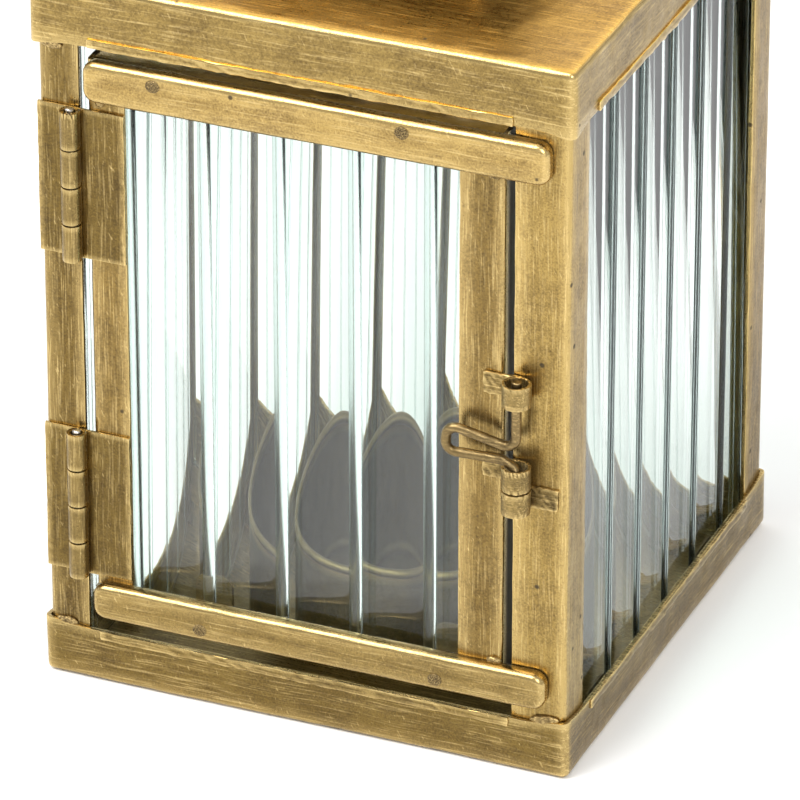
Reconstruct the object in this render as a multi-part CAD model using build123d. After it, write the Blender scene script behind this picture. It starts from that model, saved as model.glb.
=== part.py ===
from build123d import *
import os
from math import asin, atan, cos, degrees, tan

# A square table lantern of thin brass sheet: a base tray, four corner posts, a cap tray with a vented
# chimney and a ring handle, three fixed fluted panes, and a hinged front door with a fluted pane, held
# shut by a bent wire pin that drops into a keeper.  Millimetres, +Z up, the door faces -Y, and the
# origin is the centre of the face that the lantern stands on.

# ---- body ------------------------------------------------------------------------------------------
BASE_WIDTH = 120.0          # outside of the base tray, both ways
BODY_HEIGHT = 164.4         # table to the top of the cap
BASE_LIP = 12.4             # height of the tray's upstand
CAP_DROP = 14.0             # height of the cap's downturned lip
CAP_OVERHANG = 0.3          # how far the cap stands out past the base tray, each side
SHEET = 1.0                 # thickness of the trays and posts
FOLD_RADIUS = 1.4           # outside radius of the folded edges
HEM_HEIGHT = 2.0            # turned-over edge along each lip
HEM_PROUD = 0.45            # how far the turned edge stands out
HEM_END = 13.0              # plain lip left at each corner

# ---- corner posts ----------------------------------------------------------------------------------
HINGE_POST_FACE = 9.2       # front face of the post that carries the hinges
LATCH_POST_FACE = 12.0      # front face of the post that carries the keeper
POST_FACE = 10.6            # every other post face

# ---- door ------------------------------------------------------------------------------------------
DOOR_SIDE_GAP = 2.0         # between a stile and the post beside it
DOOR_SILL_GAP = 4.0         # base lip to the bottom rail
DOOR_HEAD_GAP = 2.4         # top rail to the cap's lip
RAIL_CLEARANCE = 0.3        # back of a rail to the front of the posts
RAIL_DEPTH = 3.0            # front to back of the pressed rail
RAIL_SHEET = 0.9
TOP_RAIL_HEIGHT = 9.4
BOTTOM_RAIL_HEIGHT = 8.4
RAIL_OVERLAP = 8.4          # how far a rail laps over the latch post
RAIL_END_RADIUS = 2.8       # rounded ends, seen from the front
RAIL_EDGE_RADIUS = 0.85
HINGE_STILE_FACE = 8.4
LATCH_STILE_FACE = 10.0
STILE_SHEET = 0.9
STILE_RETURN = 6.5          # depth of the stile's folded side
STILE_END_INSET = 0.6       # stile ends stop short of the rails' outer edges

# ---- fluted glass ----------------------------------------------------------------------------------
PANE_THICKNESS = 4.0        # over the ridges
RIDGE_RADIUS = 1.35         # half-round ridges
FLUTE_PITCH = 16.8
FLUTE_DEPTH = 1.2           # how far a flute is hollowed below the foot of its ridges
DOOR_RIDGE_AT = -5.9        # where one ridge stands, across the lantern
RIGHT_RIDGE_AT = 4.5
LEFT_RIDGE_AT = -4.5
BACK_RIDGE_AT = 0.0
PANE_SEAT_GAP = 0.2         # pane to the sheet in front of it
PANE_END_GAP = 0.4          # pane edge to the sheet beside it
PANE_HEAD_GAP = 1.0         # fixed pane to the cap
DOOR_PANE_BITE = 3.0        # how far the door pane reaches behind each rail

# ---- pane tabs and door clips ----------------------------------------------------------------------
TAB_SHEET = 0.8
TAB_WIDTH = 10.0
TAB_HEIGHT = 6.5
TAB_FOOT = 4.5
TAB_GAP = 0.3               # tab to the glass
TAB_SPACING = 64.0          # between the two tabs of one pane
CLIP_SHEET = 0.6
CLIP_WIDTH = 8.0
CLIP_TONGUE = 7.0           # how far a clip reaches over the glass
CLIP_TIP_RADIUS = 3.0
CLIP_RIVET_EDGE = 2.7       # rivet centre to the rail's outer edge
RIVET_RADIUS = 1.0
RIVET_HEAD_RADIUS = 1.7
RIVET_HEAD = 0.45
TOP_CLIP_INSETS = (16.2, 31.9)      # clip centre to the rail's hinge end, and to its latch end
BOTTOM_CLIP_INSETS = (25.1, 24.4)

# ---- hinges ----------------------------------------------------------------------------------------
HINGE_HEIGHT = 34.5
UPPER_HINGE_DROP = 29.3     # door top to the middle of the upper hinge
LOWER_HINGE_RISE = 26.9     # door bottom to the middle of the lower hinge
HINGE_SHEET = 0.8
KNUCKLE_RADIUS = 2.15
KNUCKLE_COUNT = 4
KNUCKLE_GAP = 0.3
KNUCKLE_STANDOFF = 0.35     # knuckle to the post behind it
KNUCKLE_SWING_GAP = 0.3     # round a knuckle, in the other leaf
HINGE_AXIS_INSET = 1.0      # post face edge to the hinge axis
HINGE_PIN_RADIUS = 0.95
HINGE_PIN_CLEARANCE = 0.05
HINGE_PIN_PROUD = 0.6
FRAME_LEAF_REACH = 8.2
DOOR_LEAF_REACH = 11.5

# ---- latch -----------------------------------------------------------------------------------------
LATCH_AXIS_INSET = 2.1      # latch post face edge to the barrels' axis
BARREL_RADIUS = 3.1
BARREL_WALL = 0.65
BARREL_STANDOFF = 0.5       # barrel to the post behind it
UPPER_BARREL_Z = 88.3       # bottom of the upper barrel
LOWER_BARREL_Z = 68.9
BARREL_LENGTH = 5.1
KEEPER_LENGTH = 5.2
KEEPER_GAP = 0.4            # lower barrel to the keeper under it
LATCH_LEAF_SHEET = 0.8
LATCH_LEAF_REACH = 8.4
LATCH_LEAF_HEIGHT = 5.0
KEEPER_LEAF_REACH = 8.2
SLOT_DIRECTION = 160.0      # degrees, where the open roll of the lower barrel lets the wire in
SLOT_WIDTH = 2.9
WIRE_RADIUS = 1.1
WIRE_END_ROUND = 0.45
PIN_TIP_GAP = 0.3           # pin's tip to the keeper while the latch is open
PIN_TOP_PROUD = 0.4         # pin's top above the upper barrel

# ---- candle cup ------------------------------------------------------------------------------------
CUP_RADIUS = 34.6
CUP_SHEET = 0.8
CUP_WALL_HEIGHT = 26.0      # tray floor to the middle of the rolled rim
CUP_BEAD = 1.1              # radius of the rolled rim
CUP_FOOT_RADIUS = 2.5       # rounded corner between wall and bottom

# ---- chimney and ring ------------------------------------------------------------------------------
THROAT_WIDTH = 44.0         # square hole in the cap
COLLAR_WIDTH = 50.0
COLLAR_SHEET = 0.8
COLLAR_VISIBLE = 16.0       # cap to the roof's eave
VENT_RADIUS = 3.0
VENT_COUNT = 3
VENT_PITCH = 13.0
ROOF_WIDTH = 68.0
ROOF_TOP_WIDTH = 10.0
ROOF_RISE = 13.0
ROOF_DRIP = 3.0             # vertical edge under the eave
ROOF_SHEET = 0.8
EYE_THICKNESS = 2.4
EYE_RADIUS = 4.2
EYE_HOLE_RADIUS = 2.3
EYE_HEIGHT = 5.2            # foot's top to the hole's centre
EYE_FOOT_RADIUS = 4.6
EYE_FOOT = 1.2
EYE_STEM_RADIUS = 1.6
EYE_STEM_HEAD_RADIUS = 2.6
EYE_STEM_HEAD = 1.0
WASHER_RADIUS = 4.4
WASHER_THICKNESS = 0.8
RING_RADIUS = 17.0          # centreline
RING_WIRE_RADIUS = 1.5
RING_REST_GAP = 0.3         # ring to the roof that it lies over

# ---- places that follow from the sizes ---------------------------------------------------------------
BASE_HALF = BASE_WIDTH / 2
CAP_HALF = BASE_HALF + CAP_OVERHANG
POST_HALF = BASE_HALF - SHEET
POST_FOOT = SHEET
POST_TOP = BODY_HEIGHT - SHEET
HINGE_POST_EDGE = -POST_HALF + HINGE_POST_FACE
LATCH_POST_EDGE = POST_HALF - LATCH_POST_FACE
DOOR_LEFT = HINGE_POST_EDGE + DOOR_SIDE_GAP
DOOR_RIGHT = LATCH_POST_EDGE - DOOR_SIDE_GAP
RAIL_RIGHT = LATCH_POST_EDGE + RAIL_OVERLAP
DOOR_BOTTOM = BASE_LIP + DOOR_SILL_GAP
DOOR_TOP = BODY_HEIGHT - CAP_DROP - DOOR_HEAD_GAP
STILE_FRONT = -POST_HALF - RAIL_CLEARANCE
STILE_BACK = STILE_FRONT + STILE_SHEET
RAIL_FRONT = STILE_FRONT - RAIL_DEPTH
DOOR_PANE_FRONT = STILE_BACK + PANE_SEAT_GAP
DOOR_PANE_BACK = DOOR_PANE_FRONT + PANE_THICKNESS
DOOR_PANE_BOTTOM = DOOR_BOTTOM + BOTTOM_RAIL_HEIGHT - DOOR_PANE_BITE
DOOR_PANE_TOP = DOOR_TOP - TOP_RAIL_HEIGHT + DOOR_PANE_BITE
FIXED_PANE_FACE = POST_HALF - SHEET - PANE_SEAT_GAP
FIXED_PANE_INNER = FIXED_PANE_FACE - PANE_THICKNESS
HINGE_X = HINGE_POST_EDGE - HINGE_AXIS_INSET
HINGE_Y = -POST_HALF - KNUCKLE_STANDOFF - KNUCKLE_RADIUS
UPPER_HINGE_Z = DOOR_TOP - UPPER_HINGE_DROP
LOWER_HINGE_Z = DOOR_BOTTOM + LOWER_HINGE_RISE
LATCH_X = LATCH_POST_EDGE + LATCH_AXIS_INSET
LATCH_Y = -POST_HALF - BARREL_STANDOFF - BARREL_RADIUS
KEEPER_TOP = LOWER_BARREL_Z - KEEPER_GAP
PIN_TIP_Z = KEEPER_TOP + PIN_TIP_GAP
EAVE_Z = BODY_HEIGHT + COLLAR_VISIBLE
ROOF_TOP_Z = EAVE_Z + ROOF_RISE
ROOF_RUN = (ROOF_WIDTH - ROOF_TOP_WIDTH) / 2
ROOF_SLOPE = atan(ROOF_RISE / ROOF_RUN)
EYE_Z = ROOF_TOP_Z + EYE_FOOT + EYE_HEIGHT
EXTRA = 5.0                 # how far a cutting tool runs past what it cuts

GROUNDED = (Align.CENTER, Align.CENTER, Align.MIN)


def block(low, high):
    """A box given by its lowest and highest corners."""
    size = [b - a for a, b in zip(low, high)]
    return Pos(*low) * Box(*size, align=(Align.MIN, Align.MIN, Align.MIN))


def upright(radius, low, high, x=0.0, y=0.0):
    """A vertical cylinder between two heights."""
    return Pos(x, y, low) * Cylinder(radius, high - low, align=GROUNDED)


def square_tray(half, height):
    """A folded sheet tray, floor down, with a turned hem outside the top of each lip."""
    outer = Box(2 * half, 2 * half, height, align=GROUNDED)
    outer = fillet(outer.edges().filter_by(Axis.Z), FOLD_RADIUS)
    outer = fillet(outer.faces().sort_by(Axis.Z)[0].edges(), FOLD_RADIUS)
    inner = Pos(0, 0, SHEET) * Box(2 * (half - SHEET), 2 * (half - SHEET), height, align=GROUNDED)
    tray = outer - inner
    hem_half = half - HEM_END
    strip = block((-hem_half, -half - HEM_PROUD, height - HEM_HEIGHT), (hem_half, -half + SHEET / 2, height))
    hem = fillet(strip.faces().sort_by(Axis.Y)[0].edges(), HEM_PROUD * 0.9)
    for turn in range(4):
        tray = tray + Rot(0, 0, 90 * turn) * hem
    return tray


def corner_post(right, back, face_x, face_y):
    """An angle of sheet in one corner: face_x wide across the lantern, face_y wide along it."""
    profile = Polyline(
        (0, 0), (-face_x, 0), (-face_x, SHEET), (-SHEET, SHEET), (-SHEET, face_y), (0, face_y), close=True
    )
    angle = extrude(make_face(profile), POST_TOP - POST_FOOT)
    fold = angle.edges().filter_by(Axis.Z).filter_by(lambda e: e.center().X > -0.1 and e.center().Y < 0.1)
    angle = fillet(fold, FOLD_RADIUS)
    inner = angle.edges().filter_by(Axis.Z).filter_by(
        lambda e: abs(e.center().X + SHEET) < 0.1 and abs(e.center().Y - SHEET) < 0.1
    )
    angle = fillet(inner, FOLD_RADIUS - SHEET)
    if not right:
        angle = mirror(angle, about=Plane.YZ)
    if back:
        angle = mirror(angle, about=Plane.XZ)
    return Pos(POST_HALF if right else -POST_HALF, POST_HALF if back else -POST_HALF, POST_FOOT) * angle


def fluted_pane(start, end, ridge_at, height):
    """A cast pane from start to end along X: flat at Y = 0, ridges and hollow flutes on the -Y side."""
    ground = PANE_THICKNESS - RIDGE_RADIUS
    half_flute = FLUTE_PITCH / 2
    radius = (half_flute ** 2 + FLUTE_DEPTH ** 2) / (2 * FLUTE_DEPTH)
    section = Pos((start + end) / 2, -ground / 2) * Rectangle(end - start, ground)
    first = int((start - ridge_at) // FLUTE_PITCH)
    last = int((end - ridge_at) // FLUTE_PITCH)
    for k in range(first, last + 1):
        middle = ridge_at + (k + 0.5) * FLUTE_PITCH
        section = section - Pos(middle, -ground + FLUTE_DEPTH - radius) * Circle(radius)
    for k in range(first, last + 2):
        ridge = ridge_at + k * FLUTE_PITCH
        if start + RIDGE_RADIUS < ridge < end - RIDGE_RADIUS:
            section = section + Pos(ridge, -ground) * Circle(RIDGE_RADIUS)
    return extrude(section, height)


def fixed_pane(turn, length, ridge_at):
    """A pane standing on the tray floor, flutes outwards; turn 0 is the front side's place."""
    height = POST_TOP - PANE_HEAD_GAP - SHEET
    pane = fluted_pane(-length / 2, length / 2, ridge_at, height)
    return Rot(0, 0, turn) * Pos(0, -FIXED_PANE_INNER, SHEET) * pane


def pane_tabs(turn):
    """Four small angles, two on the tray floor and two under the cap, behind one fixed pane."""
    face = -FIXED_PANE_INNER + TAB_GAP
    tabs = []
    for side in (-1, 1):
        left = side * TAB_SPACING / 2 - TAB_WIDTH / 2
        right = left + TAB_WIDTH
        wall = block((left, face, SHEET), (right, face + TAB_SHEET, SHEET + TAB_HEIGHT))
        foot = block((left, face, SHEET), (right, face + TAB_FOOT, SHEET + TAB_SHEET))
        tabs.append(wall + foot)
        wall = block((left, face, POST_TOP - TAB_HEIGHT), (right, face + TAB_SHEET, POST_TOP))
        foot = block((left, face, POST_TOP - TAB_SHEET), (right, face + TAB_FOOT, POST_TOP))
        tabs.append(wall + foot)
    return [Rot(0, 0, turn) * tab for tab in tabs]


def candle_cup():
    """A straight-sided round cup on the tray floor, with a rolled bead on its rim."""
    rim = SHEET + CUP_WALL_HEIGHT
    outer = upright(CUP_RADIUS, SHEET, rim)
    outer = fillet(outer.faces().sort_by(Axis.Z)[0].edges(), CUP_FOOT_RADIUS)
    bore = upright(CUP_RADIUS - CUP_SHEET, SHEET + CUP_SHEET, rim + EXTRA)
    bore = fillet(bore.faces().sort_by(Axis.Z)[0].edges(), CUP_FOOT_RADIUS - CUP_SHEET)
    bead = Pos(0, 0, rim) * Torus(CUP_RADIUS - CUP_SHEET / 2, CUP_BEAD)
    return (outer - bore) + bead


def cap():
    """The cap: the tray turned over, with the chimney's throat cut in it."""
    tray = Pos(0, 0, BODY_HEIGHT) * Rot(180, 0, 0) * square_tray(CAP_HALF, CAP_DROP)
    half = THROAT_WIDTH / 2
    return tray - block((-half, -half, BODY_HEIGHT - SHEET - EXTRA), (half, half, BODY_HEIGHT + EXTRA))


def roof_shape(inset):
    """The chimney roof's solid, drip edge included, drawn in from all its faces by inset."""
    drop = inset / cos(ROOF_SLOPE)
    half = ROOF_WIDTH / 2 - inset
    top_half = half - ROOF_RUN
    eave = EAVE_Z + inset * tan(ROOF_SLOPE) - drop
    low = Plane.XY.offset(eave) * Rectangle(2 * half, 2 * half)
    high = Plane.XY.offset(eave + ROOF_RISE) * Rectangle(2 * top_half, 2 * top_half)
    return loft([low, high]) + block((-half, -half, EAVE_Z - ROOF_DRIP), (half, half, eave))


def chimney_roof():
    """A low hipped roof of sheet with a vertical drip edge, holed for the eye's stem."""
    shell = roof_shape(0.0) - roof_shape(ROOF_SHEET)
    return shell - upright(EYE_STEM_RADIUS, ROOF_TOP_Z - EXTRA, ROOF_TOP_Z + EXTRA)


def chimney_collar():
    """A square tube that stands on the cap, vented on each side, cut to the roof's underside."""
    half = COLLAR_WIDTH / 2
    tube = Box(COLLAR_WIDTH, COLLAR_WIDTH, COLLAR_VISIBLE + ROOF_RISE, align=GROUNDED)
    tube = fillet(tube.edges().filter_by(Axis.Z), FOLD_RADIUS)
    bore = COLLAR_WIDTH - 2 * COLLAR_SHEET
    tube = tube - Box(bore, bore, COLLAR_VISIBLE + ROOF_RISE, align=GROUNDED)
    tube = Pos(0, 0, BODY_HEIGHT) * tube
    room = roof_shape(ROOF_SHEET) + block((-half, -half, BODY_HEIGHT), (half, half, EAVE_Z))
    collar = tube & room
    vent_z = BODY_HEIGHT + COLLAR_VISIBLE / 2 - ROOF_DRIP / 2
    for k in range(VENT_COUNT):
        offset = (k - (VENT_COUNT - 1) / 2) * VENT_PITCH
        vent = Cylinder(VENT_RADIUS, COLLAR_WIDTH + 2 * EXTRA)
        collar = collar - Pos(offset, 0, vent_z) * Rot(90, 0, 0) * vent
        collar = collar - Pos(0, offset, vent_z) * Rot(0, 90, 0) * vent
    return collar


def ring_eye():
    """The eye that carries the ring: plate, foot, stem through the roof and a hammered end."""
    plate = Pos(0, 0, EYE_Z) * Rot(0, 90, 0) * Cylinder(EYE_RADIUS, EYE_THICKNESS)
    half = EYE_THICKNESS / 2
    plate = plate + block((-half, -EYE_RADIUS, ROOF_TOP_Z + EYE_FOOT), (half, EYE_RADIUS, EYE_Z))
    plate = plate - Pos(0, 0, EYE_Z) * Rot(0, 90, 0) * Cylinder(EYE_HOLE_RADIUS, EYE_THICKNESS + EXTRA)
    foot = upright(EYE_FOOT_RADIUS, ROOF_TOP_Z, ROOF_TOP_Z + EYE_FOOT)
    stem_end = ROOF_TOP_Z - ROOF_SHEET - WASHER_THICKNESS
    stem = upright(EYE_STEM_RADIUS, stem_end, ROOF_TOP_Z)
    head = upright(EYE_STEM_HEAD_RADIUS, stem_end - EYE_STEM_HEAD, stem_end)
    return plate + foot + stem + head


def eye_washer():
    """The washer under the roof that the eye's stem is hammered over."""
    top = ROOF_TOP_Z - ROOF_SHEET
    disc = upright(WASHER_RADIUS, top - WASHER_THICKNESS, top)
    return disc - upright(EYE_STEM_RADIUS, top - WASHER_THICKNESS, top)


def ring_rest_angle():
    """How far below level the ring lies, in degrees, when it has fallen back on the roof."""
    apex_height = EYE_Z - (ROOF_TOP_Z + ROOF_TOP_WIDTH / 2 * tan(ROOF_SLOPE))
    above_slope = apex_height * cos(ROOF_SLOPE)
    reach = 2 * RING_RADIUS
    return degrees(ROOF_SLOPE + asin((above_slope - RING_WIRE_RADIUS - RING_REST_GAP) / reach))


def ring_handle():
    """The loose ring, through the eye and lying back on the roof."""
    ring = Pos(0, RING_RADIUS, 0) * Torus(RING_RADIUS, RING_WIRE_RADIUS)
    return Pos(0, 0, EYE_Z) * Rot(-ring_rest_angle(), 0, 0) * ring


def door_rail(low, high, rivets):
    """A pressed rail, a shallow pan open at the back, lapping over the latch post."""
    pan = block((DOOR_LEFT, RAIL_FRONT, low), (RAIL_RIGHT, STILE_FRONT, high))
    pan = fillet(pan.edges().filter_by(Axis.Y), RAIL_END_RADIUS)
    pan = fillet(pan.faces().sort_by(Axis.Y)[0].edges(), RAIL_EDGE_RADIUS)
    inner = block(
        (DOOR_LEFT + RAIL_SHEET, RAIL_FRONT + RAIL_SHEET, low + RAIL_SHEET),
        (RAIL_RIGHT - RAIL_SHEET, STILE_FRONT + EXTRA, high - RAIL_SHEET),
    )
    inner = fillet(inner.edges().filter_by(Axis.Y), RAIL_END_RADIUS - RAIL_SHEET)
    pan = pan - inner
    for x, z in rivets:
        pan = pan - Pos(x, RAIL_FRONT, z) * Rot(90, 0, 0) * Cylinder(RIVET_RADIUS, 2 * EXTRA)
    return pan


def door_stile(outer, inner):
    """A stile: flat face in front, with its outer side folded back beside the pane."""
    side = 1 if inner > outer else -1
    low = DOOR_BOTTOM + STILE_END_INSET
    profile = Polyline(
        (outer, STILE_FRONT),
        (inner, STILE_FRONT),
        (inner, STILE_BACK),
        (outer + side * STILE_SHEET, STILE_BACK),
        (outer + side * STILE_SHEET, STILE_FRONT + STILE_RETURN),
        (outer, STILE_FRONT + STILE_RETURN),
        close=True,
    )
    stile = Pos(0, 0, low) * extrude(make_face(profile), DOOR_TOP - STILE_END_INSET - low)
    fold = stile.edges().filter_by(Axis.Z).filter_by(
        lambda e: abs(e.center().X - outer) < 0.1 and abs(e.center().Y - STILE_FRONT) < 0.1
    )
    return fillet(fold, STILE_SHEET * 0.9)


def clip_places():
    """Where the four clips are riveted: x, rivet height, and +1 for the top rail or -1 for the bottom."""
    places = []
    for insets, height, up in (
        (TOP_CLIP_INSETS, DOOR_TOP - CLIP_RIVET_EDGE, 1),
        (BOTTOM_CLIP_INSETS, DOOR_BOTTOM + CLIP_RIVET_EDGE, -1),
    ):
        places.append((DOOR_LEFT + insets[0], height, up))
        places.append((RAIL_RIGHT - insets[1], height, up))
    return places


def glass_clip(x, rivet_z, up):
    """A bent strip: riveted inside the rail, round the pane's edge, with a rounded tongue behind it."""
    seat = RAIL_FRONT + RAIL_SHEET
    back = DOOR_PANE_BACK + TAB_GAP
    edge = (DOOR_PANE_TOP if up > 0 else DOOR_PANE_BOTTOM) + up * TAB_GAP
    outer = rivet_z + up * (CLIP_RIVET_EDGE - RAIL_SHEET - TAB_GAP)
    step = edge + up * CLIP_SHEET
    tip = edge - up * CLIP_TONGUE
    half = CLIP_WIDTH / 2

    def strip(y0, y1, z0, z1):
        return block((x - half, y0, min(z0, z1)), (x + half, y1, max(z0, z1)))

    tongue = strip(back, back + CLIP_SHEET, tip, step)
    ends = tongue.edges().filter_by(Axis.Y).filter_by(lambda e: abs(e.center().Z - tip) < 0.1)
    tongue = fillet(ends, CLIP_TIP_RADIUS)
    clip = tongue + strip(seat, back + CLIP_SHEET, edge, step) + strip(seat, seat + CLIP_SHEET, edge, outer)
    return clip - Pos(x, seat, rivet_z) * Rot(90, 0, 0) * Cylinder(RIVET_RADIUS, 2 * EXTRA)


def clip_rivet(x, z):
    """A rivet through the rail's face and the clip, with a low head at each end."""
    seat = RAIL_FRONT + RAIL_SHEET + CLIP_SHEET
    shank = Pos(x, (RAIL_FRONT + seat) / 2, z) * Rot(90, 0, 0) * Cylinder(RIVET_RADIUS, seat - RAIL_FRONT)
    front = Pos(x, RAIL_FRONT - RIVET_HEAD / 2, z) * Rot(90, 0, 0) * Cylinder(RIVET_HEAD_RADIUS, RIVET_HEAD)
    front = fillet(front.edges().sort_by(Axis.Y)[0], RIVET_HEAD * 0.8)
    back = Pos(x, seat + RIVET_HEAD / 2, z) * Rot(90, 0, 0) * Cylinder(RIVET_HEAD_RADIUS, RIVET_HEAD)
    return shank + front + back


def hinge_leaf(middle, on_door):
    """One leaf of a butt hinge: plate, its share of the knuckles, and room for the other leaf's."""
    bottom = middle - HINGE_HEIGHT / 2
    pitch = (HINGE_HEIGHT + KNUCKLE_GAP) / KNUCKLE_COUNT
    if on_door:
        plate = block(
            (HINGE_X, STILE_FRONT - HINGE_SHEET, bottom),
            (HINGE_X + DOOR_LEAF_REACH, STILE_FRONT, bottom + HINGE_HEIGHT),
        )
    else:
        plate = block(
            (HINGE_X - FRAME_LEAF_REACH, -POST_HALF - HINGE_SHEET, bottom),
            (HINGE_X, -POST_HALF, bottom + HINGE_HEIGHT),
        )
    leaf = plate
    room = KNUCKLE_RADIUS + KNUCKLE_SWING_GAP
    for k in range(KNUCKLE_COUNT):
        low = bottom + k * pitch
        high = low + pitch - KNUCKLE_GAP
        if (k % 2 == 0) == on_door:
            leaf = leaf + upright(KNUCKLE_RADIUS, low, high, HINGE_X, HINGE_Y)
        else:
            leaf = leaf - upright(room, low - KNUCKLE_GAP, high + KNUCKLE_GAP, HINGE_X, HINGE_Y)
            leaf = leaf - block(
                (HINGE_X - room, -POST_HALF - EXTRA, low - KNUCKLE_GAP),
                (HINGE_X + room, -POST_HALF + EXTRA, high + KNUCKLE_GAP),
            )
    bore = HINGE_PIN_RADIUS + (HINGE_PIN_CLEARANCE if on_door else 0.0)
    return leaf - upright(bore, bottom - EXTRA, bottom + HINGE_HEIGHT + EXTRA, HINGE_X, HINGE_Y)


def hinge_pin(middle):
    """The hinge's wire pin, held fast in the frame leaf, its ends rounded."""
    low = middle - HINGE_HEIGHT / 2 - HINGE_PIN_PROUD
    high = middle + HINGE_HEIGHT / 2 + HINGE_PIN_PROUD
    pin = upright(HINGE_PIN_RADIUS, low, high, HINGE_X, HINGE_Y)
    return fillet(pin.edges().filter_by(GeomType.CIRCLE), HINGE_PIN_PROUD * 0.8)


def rolled_barrel(low, length, leaf, slotted):
    """A barrel rolled from the end of its leaf; a slotted one is open at its back left side."""
    tube = upright(BARREL_RADIUS, low, low + length, LATCH_X, LATCH_Y) + leaf
    tube = tube - upright(BARREL_RADIUS - BARREL_WALL, low - EXTRA, low + length + EXTRA, LATCH_X, LATCH_Y)
    if slotted:
        slot = Pos(BARREL_RADIUS, 0, 0) * Box(2 * BARREL_RADIUS, SLOT_WIDTH, length + 2 * EXTRA)
        slot = Pos(LATCH_X, LATCH_Y, low + length / 2) * Rot(0, 0, SLOT_DIRECTION) * slot
        keep = leaf - upright(BARREL_RADIUS, low - EXTRA, low + length + EXTRA, LATCH_X, LATCH_Y)
        tube = (tube - slot) + keep
    return tube


def door_barrel(low, slotted):
    """A barrel soldered to the latch stile by a leaf that reaches towards the glass."""
    middle = low + BARREL_LENGTH / 2
    leaf = block(
        (LATCH_X - LATCH_LEAF_REACH, STILE_FRONT - LATCH_LEAF_SHEET, middle - LATCH_LEAF_HEIGHT / 2),
        (LATCH_X, STILE_FRONT, middle + LATCH_LEAF_HEIGHT / 2),
    )
    return rolled_barrel(low, BARREL_LENGTH, leaf, slotted)


def keeper():
    """The keeper barrel, soldered to the latch post, that the pin drops into."""
    low = KEEPER_TOP - KEEPER_LENGTH
    middle = low + KEEPER_LENGTH / 2
    leaf = block(
        (LATCH_X, -POST_HALF - LATCH_LEAF_SHEET, middle - LATCH_LEAF_HEIGHT / 2),
        (LATCH_X + KEEPER_LEAF_REACH, -POST_HALF, middle + LATCH_LEAF_HEIGHT / 2),
    )
    return rolled_barrel(low, KEEPER_LENGTH, leaf, False)


def latch_pin():
    """One bent wire: down through the upper barrel, out to a finger loop, back and down to its tip."""
    mouth = LOWER_BARREL_Z + BARREL_LENGTH
    top = UPPER_BARREL_Z + BARREL_LENGTH + PIN_TOP_PROUD
    points = [
        (0.0, 0.0, top),
        (0.0, 0.0, mouth + 3.8),
        (-15.0, -0.5, mouth + 7.2),
        (-15.7, -0.5, mouth + 0.9),
        (-3.3, 1.0, mouth + 0.5),
        (0.0, 0.0, mouth - 0.7),
        (0.0, 0.0, PIN_TIP_Z),
    ]
    line = FilletPolyline(*[Vector(*p) for p in points], radius=[2.4, 2.4, 2.4, 3.0, 1.8])
    wire = sweep(Plane(origin=line @ 0, z_dir=line % 0) * Circle(WIRE_RADIUS), path=line)
    ends = wire.faces().filter_by(GeomType.PLANE)
    wire = fillet([edge for face in ends for edge in face.edges()], WIRE_END_ROUND)
    return Pos(LATCH_X, LATCH_Y, 0) * wire


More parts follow.
